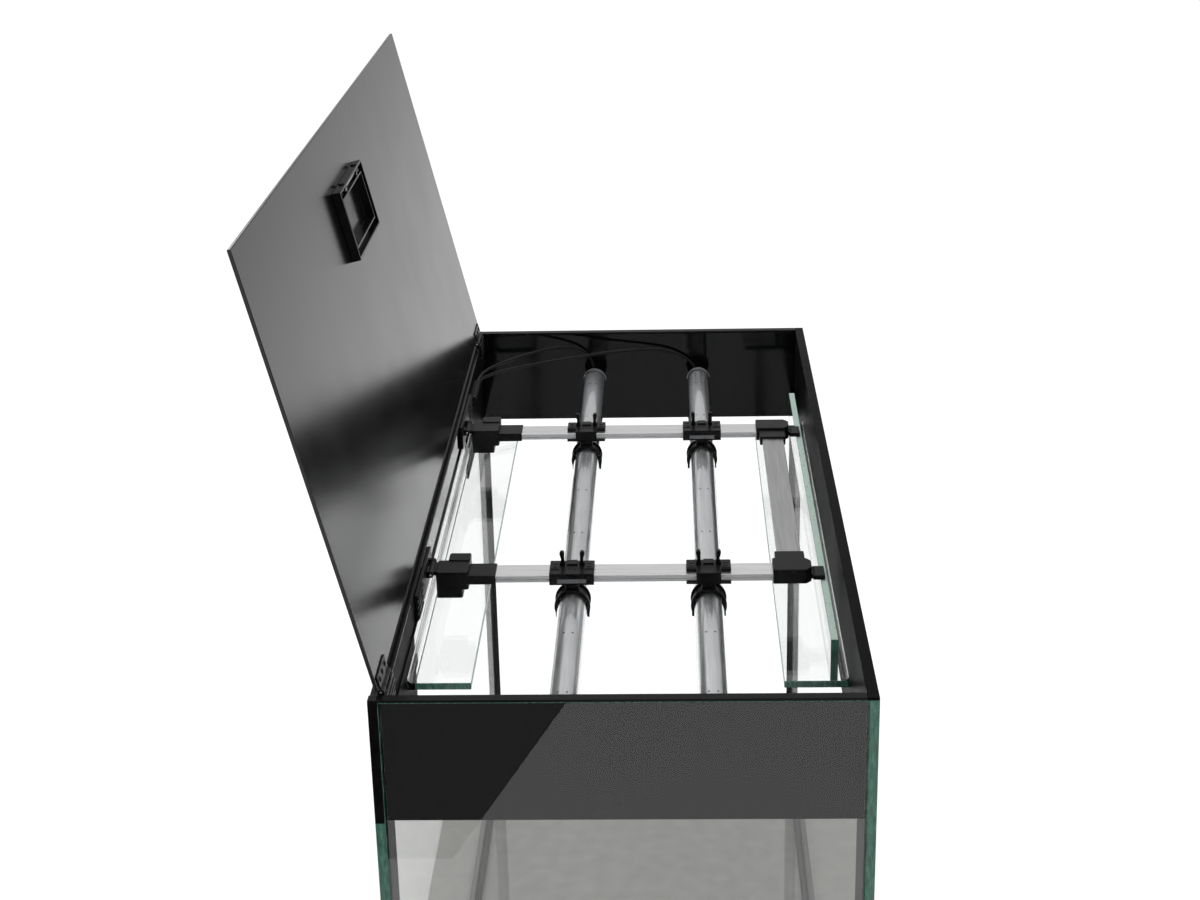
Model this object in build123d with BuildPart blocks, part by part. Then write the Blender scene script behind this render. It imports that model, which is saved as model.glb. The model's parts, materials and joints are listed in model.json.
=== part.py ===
"""A glass aquarium with a hinged lid, a folding light frame and two tube lamps.

The origin is the middle of the underside, X runs along the tank, the front is
at -Y and Z is up. Lengths are in millimetres and angles in degrees.
"""
from build123d import *
import math
import os

os.makedirs("parts", exist_ok=True)

# Tank glass, its mat and its silicone beads
tank_length = 1200.0
tank_width = 500.0
rim_top = 740.0
glass = 10.0
bottom_glass = 12.0
mat_thick = 5.0
mat_inset = 4.0
bead_leg = 9.0

# Braces and the upright strip that carries the front of the light frame
brace_glass = 8.0
brace_length = 800.0
brace_depth = 69.0
brace_drop = 84.0
rear_brace_gap = 8.0
strip_gap = 12.0
strip_top_drop = 35.0
joint_leg = 6.0

# Black band, rim and rear rail
band_thick = 2.0
band_height = 138.0
rim_cap = 3.0
rear_rim_drop = 4.0
rear_gap_length = 650.0
rail_depth = 4.0
rail_height = 36.0
rail_lip = 2.0
lip_height = 3.0

# Lid panel
lid_thick = 4.0
lid_depth = 461.5
lid_end_inset = 9.0
lid_rear_gap = 5.0
lid_rest_gap = 0.3
lid_axis_inset = 2.0
lid_open_angle = 103.5

# Hinge pins and their bores
pin_radius = 1.5
pin_clearance = 0.05
bore_radius = pin_radius + pin_clearance

# Lid hinges
lid_knuckle_radius = 3.5
lid_hinge_length = 52.0
lid_hinge_inset = 15.0
knuckle_end_length = 14.0
knuckle_gap = 0.5
leaf_thick = 1.5
leaf_depth = 13.0
leaf_setback = 1.0
leg_height = 24.0
rib_width = 3.0
rib_height = 1.5
rib_margin = 2.5
hinge_rib_pitch = 7.0
hinge_rib_count = 3

# Hatch housing and its flap
hatch_x = -35.0
hatch_distance = 359.0
hatch_length = 168.0
hatch_width = 82.0
hatch_wall = 3.0
hatch_depth = 10.5
hatch_plate = 2.0
hatch_flange = 9.0
flap_gap = 2.0
flap_wall = 2.5
flap_skirt = 9.0
flap_axis_drop = 5.5
flap_axis_gap = 3.5
flap_ring_radius = 3.2
ear_radius = 3.5
ear_length = 7.0
ear_offsets = (-41.0, 57.0)
arm_length = 8.0
arm_height = 5.0
bump_height = 1.5

# Light frame bars
bar_x = 233.0
bar_width = 32.0
bar_thick = 8.0
bar_wall = 1.5
bar_groove = 0.5
bar_groove_width = 1.6
bar_front_gap = 22.0
bar_rear_gap = 30.0
bar_top_drop = 26.0
flat_bar_width = 28.0
flat_bar_thick = 6.0
flat_bar_setback = 11.0

# Light frame hinges and brackets
frame_axis_gap = 8.0
frame_axis_drop = 22.0
frame_knuckle_radius = 3.5
frame_ear_radius = 4.0
frame_ear_width = 6.0
frame_knuckle_length = 27.0
frame_base_thick = 4.0
frame_base_length = 138.0
frame_base_height = 30.7
frame_rib_count = 4
frame_rib_pitch = 7.5
frame_rib_length = 42.0
frame_base_margin = 14.0
rear_body_width = 35.0
rear_body_depth = 37.0
rear_body_height = 32.0
rear_body_rise = 6.0
rear_step_depth = 7.0
rear_step_height = 10.0
rear_corner_round = 3.0
rear_block_length = 17.0
rear_block_depth = 25.0
rear_block_height = 16.0
sleeve_length = 31.0
sleeve_wall = 1.6
front_body_width = 34.0
front_body_depth = 38.0
front_body_height = 18.0
front_body_rise = 6.0
front_neck_width = 20.0
socket_length = 26.0
socket_wall = 3.0
tongue_width = 27.0
tongue_length = 15.0
tongue_thick = 5.7
tongue_clearance = 0.3
taper_depth = 6.0
bracket_round = 1.5

# Lamps
lamp_names = ("rear", "front")
lamp_y = (65.0, -91.0)
lamp_drop = 64.0
tube_radius = 17.0
tube_wall = 1.8
lamp_end_gap = 38.0
cap_length = 10.0
cap_plug = 4.0
cap_round = 3.0
gland_radius = 5.0
gland_length = 8.0
carrier_gap = 0.4
carrier_wall = 2.4
carrier_end_gap = 2.0
led_board_width = 16.0
led_board_thick = 1.2
led_board_inset = 9.0
led_size = 5.0
led_height = 1.0
led_pitch = 44.0

# Lamp clips
clip_width = 51.0
clip_front = 4.0
clip_ear_setback = 8.0
clip_middle = 28.0
clip_back = 2.0
clip_wall_below = 2.0
clip_wall_above = 4.0
clip_clearance = 0.05
jaw_thick = 3.6
jaw_length = 24.0
jaw_cut_drop = 6.0
jaw_tip_drop = 13.0
jaw_neck = 20.0
prong_offset = 11.4
prong_thick = 3.2
prong_length = 6.0
prong_head = 2.6
prong_top_drop = 5.0
latch_width = 12.0
latch_length = 14.0
latch_height = 2.0
groove_size = 1.2

# Lamp cables and the boot that takes them at the rear rail
cable_radius = 2.0
boot_base_gap = 13.0
boot_length = 75.0
boot_axis_gap = 5.0
boot_radius = 4.4
boot_rib_radius = 5.0
boot_rib_width = 3.0
boot_rib_pitch = 6.0
boot_foot_height = 9.0
boot_foot_inset = 4.0
port_offset = 2.1
boot_lead = 10.0
cable_wall_gap = 6.0

# Screws of the lid hinges and of the hatch housing
screw_radius = 1.5
screw_hole_extra = 0.1
screw_depth = 3.5
screw_head_thick = 1.2
leaf_screw_head = 3.0
leaf_screw_pitch = 17.0
leaf_screw_distance = 11.0
hatch_screw_head = 2.4

# Levels and planes worked out from the sizes
inner_x = tank_length / 2 - glass
inner_y = tank_width / 2 - glass
floor_top = mat_thick + bottom_glass
glass_top = rim_top - rim_cap
rear_rim_top = rim_top - rear_rim_drop
rear_glass_top = rear_rim_top - rim_cap
band_low = rim_top - band_height
band_x = inner_x - band_thick
band_y = inner_y - band_thick
rail_y = band_y - rail_depth
rail_low = rear_glass_top - rail_height
brace_top = rim_top - brace_drop
brace_low = brace_top - brace_glass
strip_y = strip_gap - band_y
strip_inner_y = strip_y + brace_glass
strip_top = rim_top - strip_top_drop
bar_top = rim_top - bar_top_drop
bar_low = bar_top - bar_thick
bar_half = bar_width / 2
frame_axis_y = rail_y - frame_axis_gap
frame_axis_z = rim_top - frame_axis_drop
bar_front = strip_inner_y + bar_front_gap
bar_rear = frame_axis_y - bar_rear_gap
flat_bar_y = bar_front + flat_bar_setback
lamp_z = rim_top - lamp_drop
tube_length = 2 * (band_x - lamp_end_gap)
base_reach = frame_knuckle_length / 2 + knuckle_gap
base_start = base_reach + frame_ear_width + frame_base_margin
boot_y = rail_y - boot_axis_gap
boot_start_x = bar_x - base_start + frame_base_length + boot_base_gap
boot_mouth_x = boot_start_x + boot_length
hinge_y = inner_y - lid_axis_inset
hinge_z = rim_top + lid_rest_gap
open_turn = math.radians(lid_open_angle)
lid_plane = Plane(
    origin=(0, hinge_y, hinge_z),
    x_dir=(1, 0, 0),
    z_dir=(0, math.sin(open_turn), math.cos(open_turn)),
)


def keep(part, name):
    """Names a finished piece and writes its STEP file."""
    part.label = name
    export_step(part, f"parts/{name}.step")


def slab(corner, opposite, mode=Mode.ADD):
    """A block between two opposite corners."""
    middle = tuple((a + b) / 2 for a, b in zip(corner, opposite))
    with Locations(middle):
        Box(*[abs(b - a) for a, b in zip(corner, opposite)], mode=mode)


def rod(start_x, end_x, y, z, radius, mode=Mode.ADD):
    """A round bar along X."""
    with Locations(Location(((start_x + end_x) / 2, y, z), (0, 90, 0))):
        Cylinder(radius, abs(end_x - start_x), mode=mode)


def prism(points, start_x, end_x):
    """A YZ outline pushed along X."""
    with BuildSketch(Plane.YZ.offset(start_x)) as outline:
        with BuildLine():
            Polyline(*points, close=True)
        make_face()
    extrude(outline.sketch, amount=end_x - start_x)


def make_glass():
    """The mat, the five panes and the silicone in their inner corners."""
    half_x = tank_length / 2
    half_y = tank_width / 2
    with BuildPart() as base_mat:
        mat_x = half_x - mat_inset
        mat_y = half_y - mat_inset
        slab((-mat_x, -mat_y, 0), (mat_x, mat_y, mat_thick))
    keep(base_mat.part, "base_mat")

    with BuildPart() as bottom_pane:
        slab((-half_x, -half_y, mat_thick), (half_x, half_y, floor_top))
    keep(bottom_pane.part, "bottom_pane")

    with BuildPart() as front_pane:
        slab((-half_x, -half_y, floor_top), (half_x, -inner_y, glass_top))
    keep(front_pane.part, "front_pane")

    with BuildPart() as rear_pane:
        slab((-half_x, inner_y, floor_top), (half_x, half_y, rear_glass_top))
    keep(rear_pane.part, "rear_pane")

    for name, side in (("left_pane", -1), ("right_pane", 1)):
        with BuildPart() as end_pane:
            slab((side * inner_x, -inner_y, floor_top), (side * half_x, inner_y, glass_top))
        keep(end_pane.part, name)

    with BuildPart() as bottom_seal:
        slab((-inner_x, -inner_y, floor_top), (inner_x, inner_y, floor_top + bead_leg))
        with BuildSketch(Plane.XY.offset(floor_top)):
            Rectangle(2 * (inner_x - bead_leg), 2 * (inner_y - bead_leg))
        with BuildSketch(Plane.XY.offset(floor_top + bead_leg)):
            Rectangle(2 * inner_x, 2 * inner_y)
        loft(mode=Mode.SUBTRACT)
    keep(bottom_seal.part, "bottom_seal")

    with BuildPart() as corner_seals:
        for side_x in (-1, 1):
            for side_y in (-1, 1):
                with BuildSketch(Plane.XY.offset(floor_top + bead_leg)):
                    with BuildLine():
                        Polyline(
                            (side_x * inner_x, side_y * inner_y),
                            (side_x * (inner_x - bead_leg), side_y * inner_y),
                            (side_x * inner_x, side_y * (inner_y - bead_leg)),
                            close=True,
                        )
                    make_face()
                extrude(amount=band_low - floor_top - bead_leg)
    keep(corner_seals.part, "corner_seals")


def make_braces():
    """Two glass braces, the upright strip on the front one, and their silicone."""
    half = brace_length / 2
    with BuildPart() as front_brace:
        slab((-half, -band_y, brace_low), (half, brace_depth - band_y, brace_top))
    keep(front_brace.part, "front_brace")

    brace_back = band_y - rear_brace_gap
    with BuildPart() as rear_brace:
        slab((-half, band_y - brace_depth, brace_low), (half, brace_back, brace_top))
    keep(rear_brace.part, "rear_brace")

    with BuildPart() as support_strip:
        slab((-half, strip_y, brace_top), (half, strip_inner_y, strip_top))
    keep(support_strip.part, "support_strip")

    with BuildPart() as front_joint:
        prism(
            ((-band_y, brace_top), (joint_leg - band_y, brace_top), (-band_y, brace_top + joint_leg)),
            -half,
            half,
        )
    keep(front_joint.part, "front_brace_joint")

    with BuildPart() as rear_joint:
        prism(
            ((band_y, brace_top), (band_y - joint_leg, brace_top), (band_y, brace_top + joint_leg)),
            -half,
            half,
        )
        slab((-half, brace_back, brace_low), (half, band_y, brace_top))
        gap_half = rear_gap_length / 2
        slab((-gap_half, band_y, brace_low), (gap_half, inner_y, brace_top + joint_leg))
    keep(rear_joint.part, "rear_brace_joint")


def make_band_and_rim():
    """The black panels inside the top edge, the rim over the glass and the rear rail."""
    half_x = tank_length / 2
    half_y = tank_width / 2
    gap_half = rear_gap_length / 2
    with BuildPart() as front_band:
        slab((-inner_x, -inner_y, band_low), (inner_x, -band_y, glass_top))
    keep(front_band.part, "front_band")

    for name, side in (("left", -1), ("right", 1)):
        with BuildPart() as end_band:
            slab((side * inner_x, -band_y, band_low), (side * band_x, band_y, glass_top))
        keep(end_band.part, f"{name}_band")

        with BuildPart() as rear_band:
            slab((side * inner_x, band_y, band_low), (side * gap_half, inner_y, rail_low))
        keep(rear_band.part, f"rear_band_{name}")

        with BuildPart() as end_rim:
            slab((side * band_x, -band_y, glass_top), (side * half_x, half_y, rim_top))
            slab((side * band_x, inner_y, rear_glass_top), (side * half_x, half_y, glass_top))
        keep(end_rim.part, f"rim_{name}")

    with BuildPart() as front_rim:
        slab((-half_x, -half_y, glass_top), (half_x, -band_y, rim_top))
    keep(front_rim.part, "rim_front")

    with BuildPart() as rear_rim:
        slab((-band_x, rail_y, rear_glass_top), (band_x, half_y, rear_rim_top))
    keep(rear_rim.part, "rim_rear")

    with BuildPart() as rear_rail:
        slab((-band_x, rail_y, rail_low), (band_x, inner_y, rear_glass_top))
        slab((-band_x, rail_y - rail_lip, rail_low), (band_x, rail_y, rail_low + lip_height))
    keep(rear_rail.part, "rear_rail")


lid_hinge_middles = [
    side * (tank_length / 2 - lid_hinge_inset - lid_hinge_length / 2) for side in (-1, 1)
]


def make_lid_hinges():
    """A base on the rear rim, a leaf under the lid and a pin, at both ends of the lid."""
    half = lid_hinge_length / 2
    base_front = rail_y - leaf_thick
    base_top = rear_rim_top + leaf_thick
    plate_back = hinge_y - lid_knuckle_radius - leaf_setback
    with BuildPart() as bases:
        for middle in lid_hinge_middles:
            left = middle - half
            right = middle + half
            slab((left, base_front, rear_rim_top), (right, plate_back, base_top))
            slab((left, base_front, rear_rim_top - leg_height), (right, rail_y, base_top))
            for rib in range(hinge_rib_count):
                rib_low = rear_rim_top - leg_height + rib_margin + rib * hinge_rib_pitch
                slab(
                    (left, base_front - rib_height, rib_low),
                    (right, base_front, rib_low + rib_width),
                )
            for start, end in ((left, left + knuckle_end_length), (right - knuckle_end_length, right)):
                rod(start, end, hinge_y, hinge_z, lid_knuckle_radius)
                slab((start, plate_back, rear_rim_top), (end, hinge_y, hinge_z - pin_radius))
            rod(left, right, hinge_y, hinge_z, bore_radius, Mode.SUBTRACT)
    keep(bases.part, "lid_hinge_bases")

    with BuildPart(lid_plane) as leaves:
        leaf_back = -lid_knuckle_radius - leaf_setback
        for middle in lid_hinge_middles:
            left = middle - half
            right = middle + half
            start = left + knuckle_end_length + knuckle_gap
            end = right - knuckle_end_length - knuckle_gap
            slab((left, leaf_back - leaf_depth, -leaf_thick), (right, leaf_back, 0))
            slab((start, leaf_back, -leaf_thick), (end, 0, 0))
            rod(start, end, 0, 0, lid_knuckle_radius)
            rod(left, right, 0, 0, bore_radius, Mode.SUBTRACT)
            for hole_x in leaf_screw_places(middle):
                screw_hole(hole_x, -leaf_screw_distance, -leaf_thick, 0)
    keep(leaves.part, "lid_hinge_leaves")

    with BuildPart(lid_plane) as pins:
        for middle in lid_hinge_middles:
            rod(middle - half, middle + half, 0, 0, pin_radius)
    keep(pins.part, "lid_hinge_pins")


def leaf_screw_places(middle):
    """The X of the three screws of one lid hinge leaf."""
    return [middle + step * leaf_screw_pitch for step in (-1, 0, 1)]


def hatch_screw_places():
    """The four screws in the corners of the hatch housing, on the lid plane."""
    inset = (hatch_flange + hatch_wall) / 2
    reach_x = hatch_length / 2 - inset
    reach_y = hatch_width / 2 - inset
    return [
        (hatch_x + side_x * reach_x, side_y * reach_y - hatch_distance)
        for side_x in (-1, 1)
        for side_y in (-1, 1)
    ]


def screw_hole(x, y, low, high):
    """Cuts a screw's hole, square to the lid."""
    with Locations((x, y, (low + high) / 2)):
        Cylinder(screw_radius + screw_hole_extra, high - low, mode=Mode.SUBTRACT)


def make_lid():
    """The lid panel, open, with the hatch housing and the screws under it."""
    open_x = hatch_length / 2 - hatch_flange
    open_y = hatch_width / 2 - hatch_flange
    lid_half = tank_length / 2 - lid_end_inset
    with BuildPart(lid_plane) as lid_panel:
        slab((-lid_half, -lid_rear_gap - lid_depth, 0), (lid_half, -lid_rear_gap, lid_thick))
        slab(
            (hatch_x - open_x, -hatch_distance - open_y, 0),
            (hatch_x + open_x, -hatch_distance + open_y, lid_thick),
            Mode.SUBTRACT,
        )
        for middle in lid_hinge_middles:
            for hole_x in leaf_screw_places(middle):
                screw_hole(hole_x, -leaf_screw_distance, 0, screw_depth)
        for hole_x, hole_y in hatch_screw_places():
            screw_hole(hole_x, hole_y, 0, screw_depth)
    keep(lid_panel.part, "lid_panel")

    with BuildPart(lid_plane) as screws:
        for middle in lid_hinge_middles:
            for place_x in leaf_screw_places(middle):
                screw(place_x, -leaf_screw_distance, -leaf_thick, leaf_screw_head)
        for place_x, place_y in hatch_screw_places():
            screw(place_x, place_y, -hatch_plate, hatch_screw_head)
    keep(screws.part, "lid_screws")

    wall_x = hatch_length / 2
    wall_y = hatch_width / 2
    axis_y = -hatch_distance - wall_y + hatch_wall + flap_axis_gap
    with BuildPart(lid_plane) as housing:
        slab(
            (hatch_x - wall_x, -hatch_distance - wall_y, -hatch_depth),
            (hatch_x + wall_x, -hatch_distance + wall_y, 0),
        )
        slab(
            (hatch_x - wall_x + hatch_wall, -hatch_distance - wall_y + hatch_wall, -hatch_depth),
            (hatch_x + wall_x - hatch_wall, -hatch_distance + wall_y - hatch_wall, -hatch_plate),
            Mode.SUBTRACT,
        )
        slab(
            (hatch_x - open_x, -hatch_distance - open_y, -hatch_plate),
            (hatch_x + open_x, -hatch_distance + open_y, 0),
            Mode.SUBTRACT,
        )
        for offset in ear_offsets:
            start = hatch_x + offset - ear_length / 2
            end = start + ear_length
            rod(start, end, axis_y, -flap_axis_drop, ear_radius)
            slab(
                (start, axis_y - flap_axis_gap, -flap_axis_drop - ear_radius),
                (end, axis_y, -hatch_plate),
            )
            rod(start, end, axis_y, -flap_axis_drop, bore_radius, Mode.SUBTRACT)
            bump_y = -hatch_distance - wall_y - bump_height / 2
            with Locations(Location((hatch_x + offset, bump_y, -flap_axis_drop), (90, 0, 0))):
                Cylinder(ear_radius, bump_height)
        for hole_x, hole_y in hatch_screw_places():
            screw_hole(hole_x, hole_y, -hatch_plate, 0)
    keep(housing.part, "hatch_housing")

    flap_x = open_x - flap_gap
    flap_y = open_y - flap_gap
    with BuildPart(lid_plane) as flap:
        slab(
            (hatch_x - flap_x, -hatch_distance - flap_y, -flap_skirt),
            (hatch_x + flap_x, -hatch_distance + flap_y, lid_thick),
        )
        slab(
            (hatch_x - flap_x + flap_wall, -hatch_distance - flap_y + flap_wall, -flap_skirt),
            (hatch_x + flap_x - flap_wall, -hatch_distance + flap_y - flap_wall, lid_thick - flap_wall),
            Mode.SUBTRACT,
        )
        for offset, side in zip(ear_offsets, (1, -1)):
            start = hatch_x + offset + side * (ear_length / 2 + knuckle_gap)
            end = start + side * arm_length
            rod(start, end, axis_y, -flap_axis_drop, flap_ring_radius)
            slab(
                (start, axis_y, -flap_axis_drop - arm_height / 2),
                (end, -hatch_distance - flap_y, -flap_axis_drop + arm_height / 2),
            )
            rod(start, end, axis_y, -flap_axis_drop, bore_radius, Mode.SUBTRACT)
    keep(flap.part, "hatch_flap")

    with BuildPart(lid_plane) as pin:
        rod(
            hatch_x + ear_offsets[0] - ear_length / 2,
            hatch_x + ear_offsets[1] + ear_length / 2,
            axis_y,
            -flap_axis_drop,
            pin_radius,
        )
    keep(pin.part, "hatch_pin")


def screw(x, y, seat, head_radius):
    """A screw with its head under a seat and its shank up into the lid."""
    with Locations((x, y, seat - screw_head_thick / 2)):
        Cylinder(head_radius, screw_head_thick)
    with Locations((x, y, (seat + screw_depth) / 2)):
        Cylinder(screw_radius, screw_depth - seat)


def cut_bar_seat(bar, start_y, end_y):
    """Cuts the seat of a crossbar through a bracket or a clip."""
    slab((bar - bar_half, start_y, bar_low), (bar + bar_half, end_y, bar_top), Mode.SUBTRACT)


def make_bars():
    """Two hollow crossbars and the flat bar that joins their front ends."""
    for name, bar in (("left", -bar_x), ("right", bar_x)):
        with BuildPart() as crossbar:
            slab((bar - bar_half, bar_front, bar_low), (bar + bar_half, bar_rear, bar_top))
            slab(
                (bar - bar_half + bar_wall, bar_front, bar_low + bar_wall),
                (bar + bar_half - bar_wall, bar_rear, bar_top - bar_wall),
                Mode.SUBTRACT,
            )
            groove_low = bar_top - (bar_thick + bar_groove_width) / 2
            for side in (-1, 1):
                slab(
                    (bar + side * bar_half, bar_front, groove_low),
                    (bar + side * (bar_half - bar_groove), bar_rear, groove_low + bar_groove_width),
                    Mode.SUBTRACT,
                )
        keep(crossbar.part, f"crossbar_{name}")

    with BuildPart() as front_bar:
        reach = bar_x - bar_half
        slab(
            (-reach, flat_bar_y - flat_bar_width / 2, bar_top - flat_bar_thick),
            (reach, flat_bar_y + flat_bar_width / 2, bar_top),
        )
    keep(front_bar.part, "front_bar")


def make_front_brackets():
    """Corner blocks that join the bars and rest on the strip with a tongue."""
    for name, bar, inward in (("left", -bar_x, 1), ("right", bar_x, -1)):
        front = bar_front - taper_depth
        back = front + front_body_depth
        tip = front - taper_depth
        half = front_body_width / 2
        top = bar_top + front_body_rise
        low = top - front_body_height
        tongue_low = strip_top + tongue_clearance
        with BuildPart() as bracket:
            with BuildSketch(Plane.XY.offset(low)):
                with BuildLine():
                    Polyline(
                        (bar - half, back),
                        (bar + half, back),
                        (bar + half, front),
                        (bar + front_neck_width / 2, tip),
                        (bar - front_neck_width / 2, tip),
                        (bar - half, front),
                        close=True,
                    )
                make_face()
            extrude(amount=front_body_height)
            chamfer(bracket.faces().sort_by(Axis.Z)[-1].edges(), bracket_round)
            slab(
                (bar - front_neck_width / 2, front, tongue_low),
                (bar + front_neck_width / 2, tip - tongue_length, tongue_low + tongue_thick),
            )
            slab(
                (bar - tongue_width / 2, tip - bracket_round, tongue_low),
                (bar + tongue_width / 2, tip - tongue_length, tongue_low + tongue_thick),
            )
            socket_y = flat_bar_width / 2 + socket_wall
            slab(
                (bar + inward * half, flat_bar_y - socket_y, bar_top - flat_bar_thick - socket_wall),
                (bar + inward * (half + socket_length), flat_bar_y + socket_y, bar_top + socket_wall),
            )
            cut_bar_seat(bar, bar_front, back)
            slab(
                (bar + inward * bar_half, flat_bar_y - flat_bar_width / 2, bar_top - flat_bar_thick),
                (bar + inward * (half + socket_length), flat_bar_y + flat_bar_width / 2, bar_top),
                Mode.SUBTRACT,
            )
        keep(bracket.part, f"front_bracket_{name}")


def make_rear_brackets():
    """Blocks that hold the rear ends of the crossbars and turn on the frame's pins."""
    for name, bar in (("left", -bar_x), ("right", bar_x)):
        back = frame_axis_y - rear_body_rise
        front = back - rear_body_depth
        left = bar - rear_body_width / 2
        right = bar + rear_body_width / 2
        top = bar_top + rear_body_rise
        low = top - rear_body_height
        knuckle = bar - frame_knuckle_length / 2
        with BuildPart() as bracket:
            with BuildSketch(Plane.XY.offset(low)):
                with Locations(((left + right) / 2, (front + back) / 2)):
                    RectangleRounded(rear_body_width, rear_body_depth, rear_corner_round)
            extrude(amount=rear_body_height)
            chamfer(bracket.faces().sort_by(Axis.Z)[-1].edges(), bracket_round)
            slab(
                (left, front, low),
                (right, front + rear_step_depth, low + rear_step_height),
                Mode.SUBTRACT,
            )
            block_length = rear_block_length + rear_corner_round
            block_x = right + rear_block_length - block_length / 2
            with BuildSketch(Plane.XY.offset(top - rear_block_height)):
                with Locations((block_x, front + rear_block_depth / 2)):
                    RectangleRounded(block_length, rear_block_depth, rear_corner_round)
            extrude(amount=rear_block_height + bracket_round)
            slab(
                (bar - bar_half - sleeve_wall, front - sleeve_length, bar_low - sleeve_wall),
                (bar + bar_half + sleeve_wall, front + rear_corner_round, bar_top + sleeve_wall),
            )
            rod(knuckle, knuckle + frame_knuckle_length, frame_axis_y, frame_axis_z, frame_knuckle_radius)
            slab(
                (knuckle, back - bracket_round, frame_axis_z - frame_knuckle_radius),
                (knuckle + frame_knuckle_length, frame_axis_y, frame_axis_z + pin_radius),
            )
            rod(
                knuckle,
                knuckle + frame_knuckle_length,
                frame_axis_y,
                frame_axis_z,
                bore_radius,
                Mode.SUBTRACT,
            )
            cut_bar_seat(bar, front - sleeve_length, bar_rear)
        keep(bracket.part, f"rear_bracket_{name}")


def make_frame_hinges():
    """Wall bases on the rear rail, and the pins that the light frame turns on."""
    for name, bar, outward in (("left", -bar_x, -1), ("right", bar_x, 1)):
        plate_low = rail_low + lip_height
        plate_front = rail_y - frame_base_thick
        plate_start = bar - outward * base_start
        plate_end = plate_start + outward * frame_base_length
        with BuildPart() as base:
            slab(
                (plate_start, plate_front, plate_low),
                (plate_end, rail_y, plate_low + frame_base_height),
            )
            for start in (bar - base_reach - frame_ear_width, bar + base_reach):
                end = start + frame_ear_width
                rod(start, end, frame_axis_y, frame_axis_z, frame_ear_radius)
                slab(
                    (start, frame_axis_y, frame_axis_z - frame_ear_radius),
                    (end, plate_front, frame_axis_z + frame_ear_radius),
                )
                rod(start, end, frame_axis_y, frame_axis_z, bore_radius, Mode.SUBTRACT)
            for rib in range(frame_rib_count):
                rib_low = plate_low + rib_margin + rib * frame_rib_pitch
                slab(
                    (plate_end - outward * frame_rib_length, plate_front - rib_height, rib_low),
                    (plate_end, plate_front, rib_low + rib_width),
                )
        keep(base.part, f"frame_hinge_base_{name}")

        with BuildPart() as pin:
            outer = base_reach + frame_ear_width
            rod(bar - outer, bar + outer, frame_axis_y, frame_axis_z, pin_radius)
        keep(pin.part, f"frame_hinge_pin_{name}")


def make_clip(name, bar, row, covered):
    """A clip that slides on a crossbar and snaps round a lamp tube.

    A covered clip closes over the front of the bar for its whole width.
    """
    block_low = bar_low - clip_wall_below
    block_top = bar_top + clip_wall_above
    block_front = bar - bar_half - clip_front
    block_back = bar + bar_half + clip_back
    bore = tube_radius + clip_clearance
    outer = bore + jaw_thick
    jaw_start = block_front + clip_back
    jaw_cut = lamp_z - jaw_cut_drop
    inner_tip = math.sqrt(bore**2 - jaw_cut_drop**2)
    with BuildPart() as clip:
        slab(
            (block_front, row - clip_width / 2, block_low),
            (block_back, row + clip_width / 2, block_top),
        )
        slab(
            (jaw_start, row - jaw_neck / 2, lamp_z),
            (jaw_start + jaw_length, row + jaw_neck / 2, block_low),
        )
        rod(jaw_start, jaw_start + jaw_length, row, lamp_z, outer)
        rod(jaw_start, jaw_start + jaw_length, row, lamp_z, bore, Mode.SUBTRACT)
        slab(
            (jaw_start, row - outer, lamp_z - outer),
            (jaw_start + jaw_length, row + outer, jaw_cut),
            Mode.SUBTRACT,
        )
        for side in (-1, 1):
            slab(
                (jaw_start, row + side * inner_tip, lamp_z - jaw_tip_drop),
                (jaw_start + jaw_length, row + side * (inner_tip + jaw_thick), jaw_cut),
            )
            prong_y = row + side * prong_offset
            prong_x = block_back - latch_length
            head_z = rim_top - prong_top_drop - prong_head
            slab(
                (prong_x, prong_y - prong_thick / 2, block_top),
                (prong_x + prong_length, prong_y + prong_thick / 2, head_z),
            )
            rod(prong_x, prong_x + prong_length, prong_y, head_z, prong_head)
        slab(
            (block_back - latch_length, row - latch_width / 2, block_top),
            (block_back - clip_back, row + latch_width / 2, block_top + latch_height),
        )
        ear_front = bar - clip_ear_setback
        for side in (-1, 1):
            if covered:
                slab(
                    (ear_front - groove_size, row + side * clip_middle / 2, block_top - groove_size),
                    (ear_front, row + side * clip_width / 2, block_top),
                    Mode.SUBTRACT,
                )
            else:
                slab(
                    (block_front, row + side * clip_middle / 2, bar_low),
                    (ear_front, row + side * clip_width / 2, block_top),
                    Mode.SUBTRACT,
                )
        if covered:
            slab(
                (block_front - groove_size, row - clip_middle / 2, bar_top - bar_thick / 2),
                (block_front, row + clip_middle / 2, bar_top),
            )
        cut_bar_seat(bar, row - clip_width / 2, row + clip_width / 2)
    keep(clip.part, name)


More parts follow.
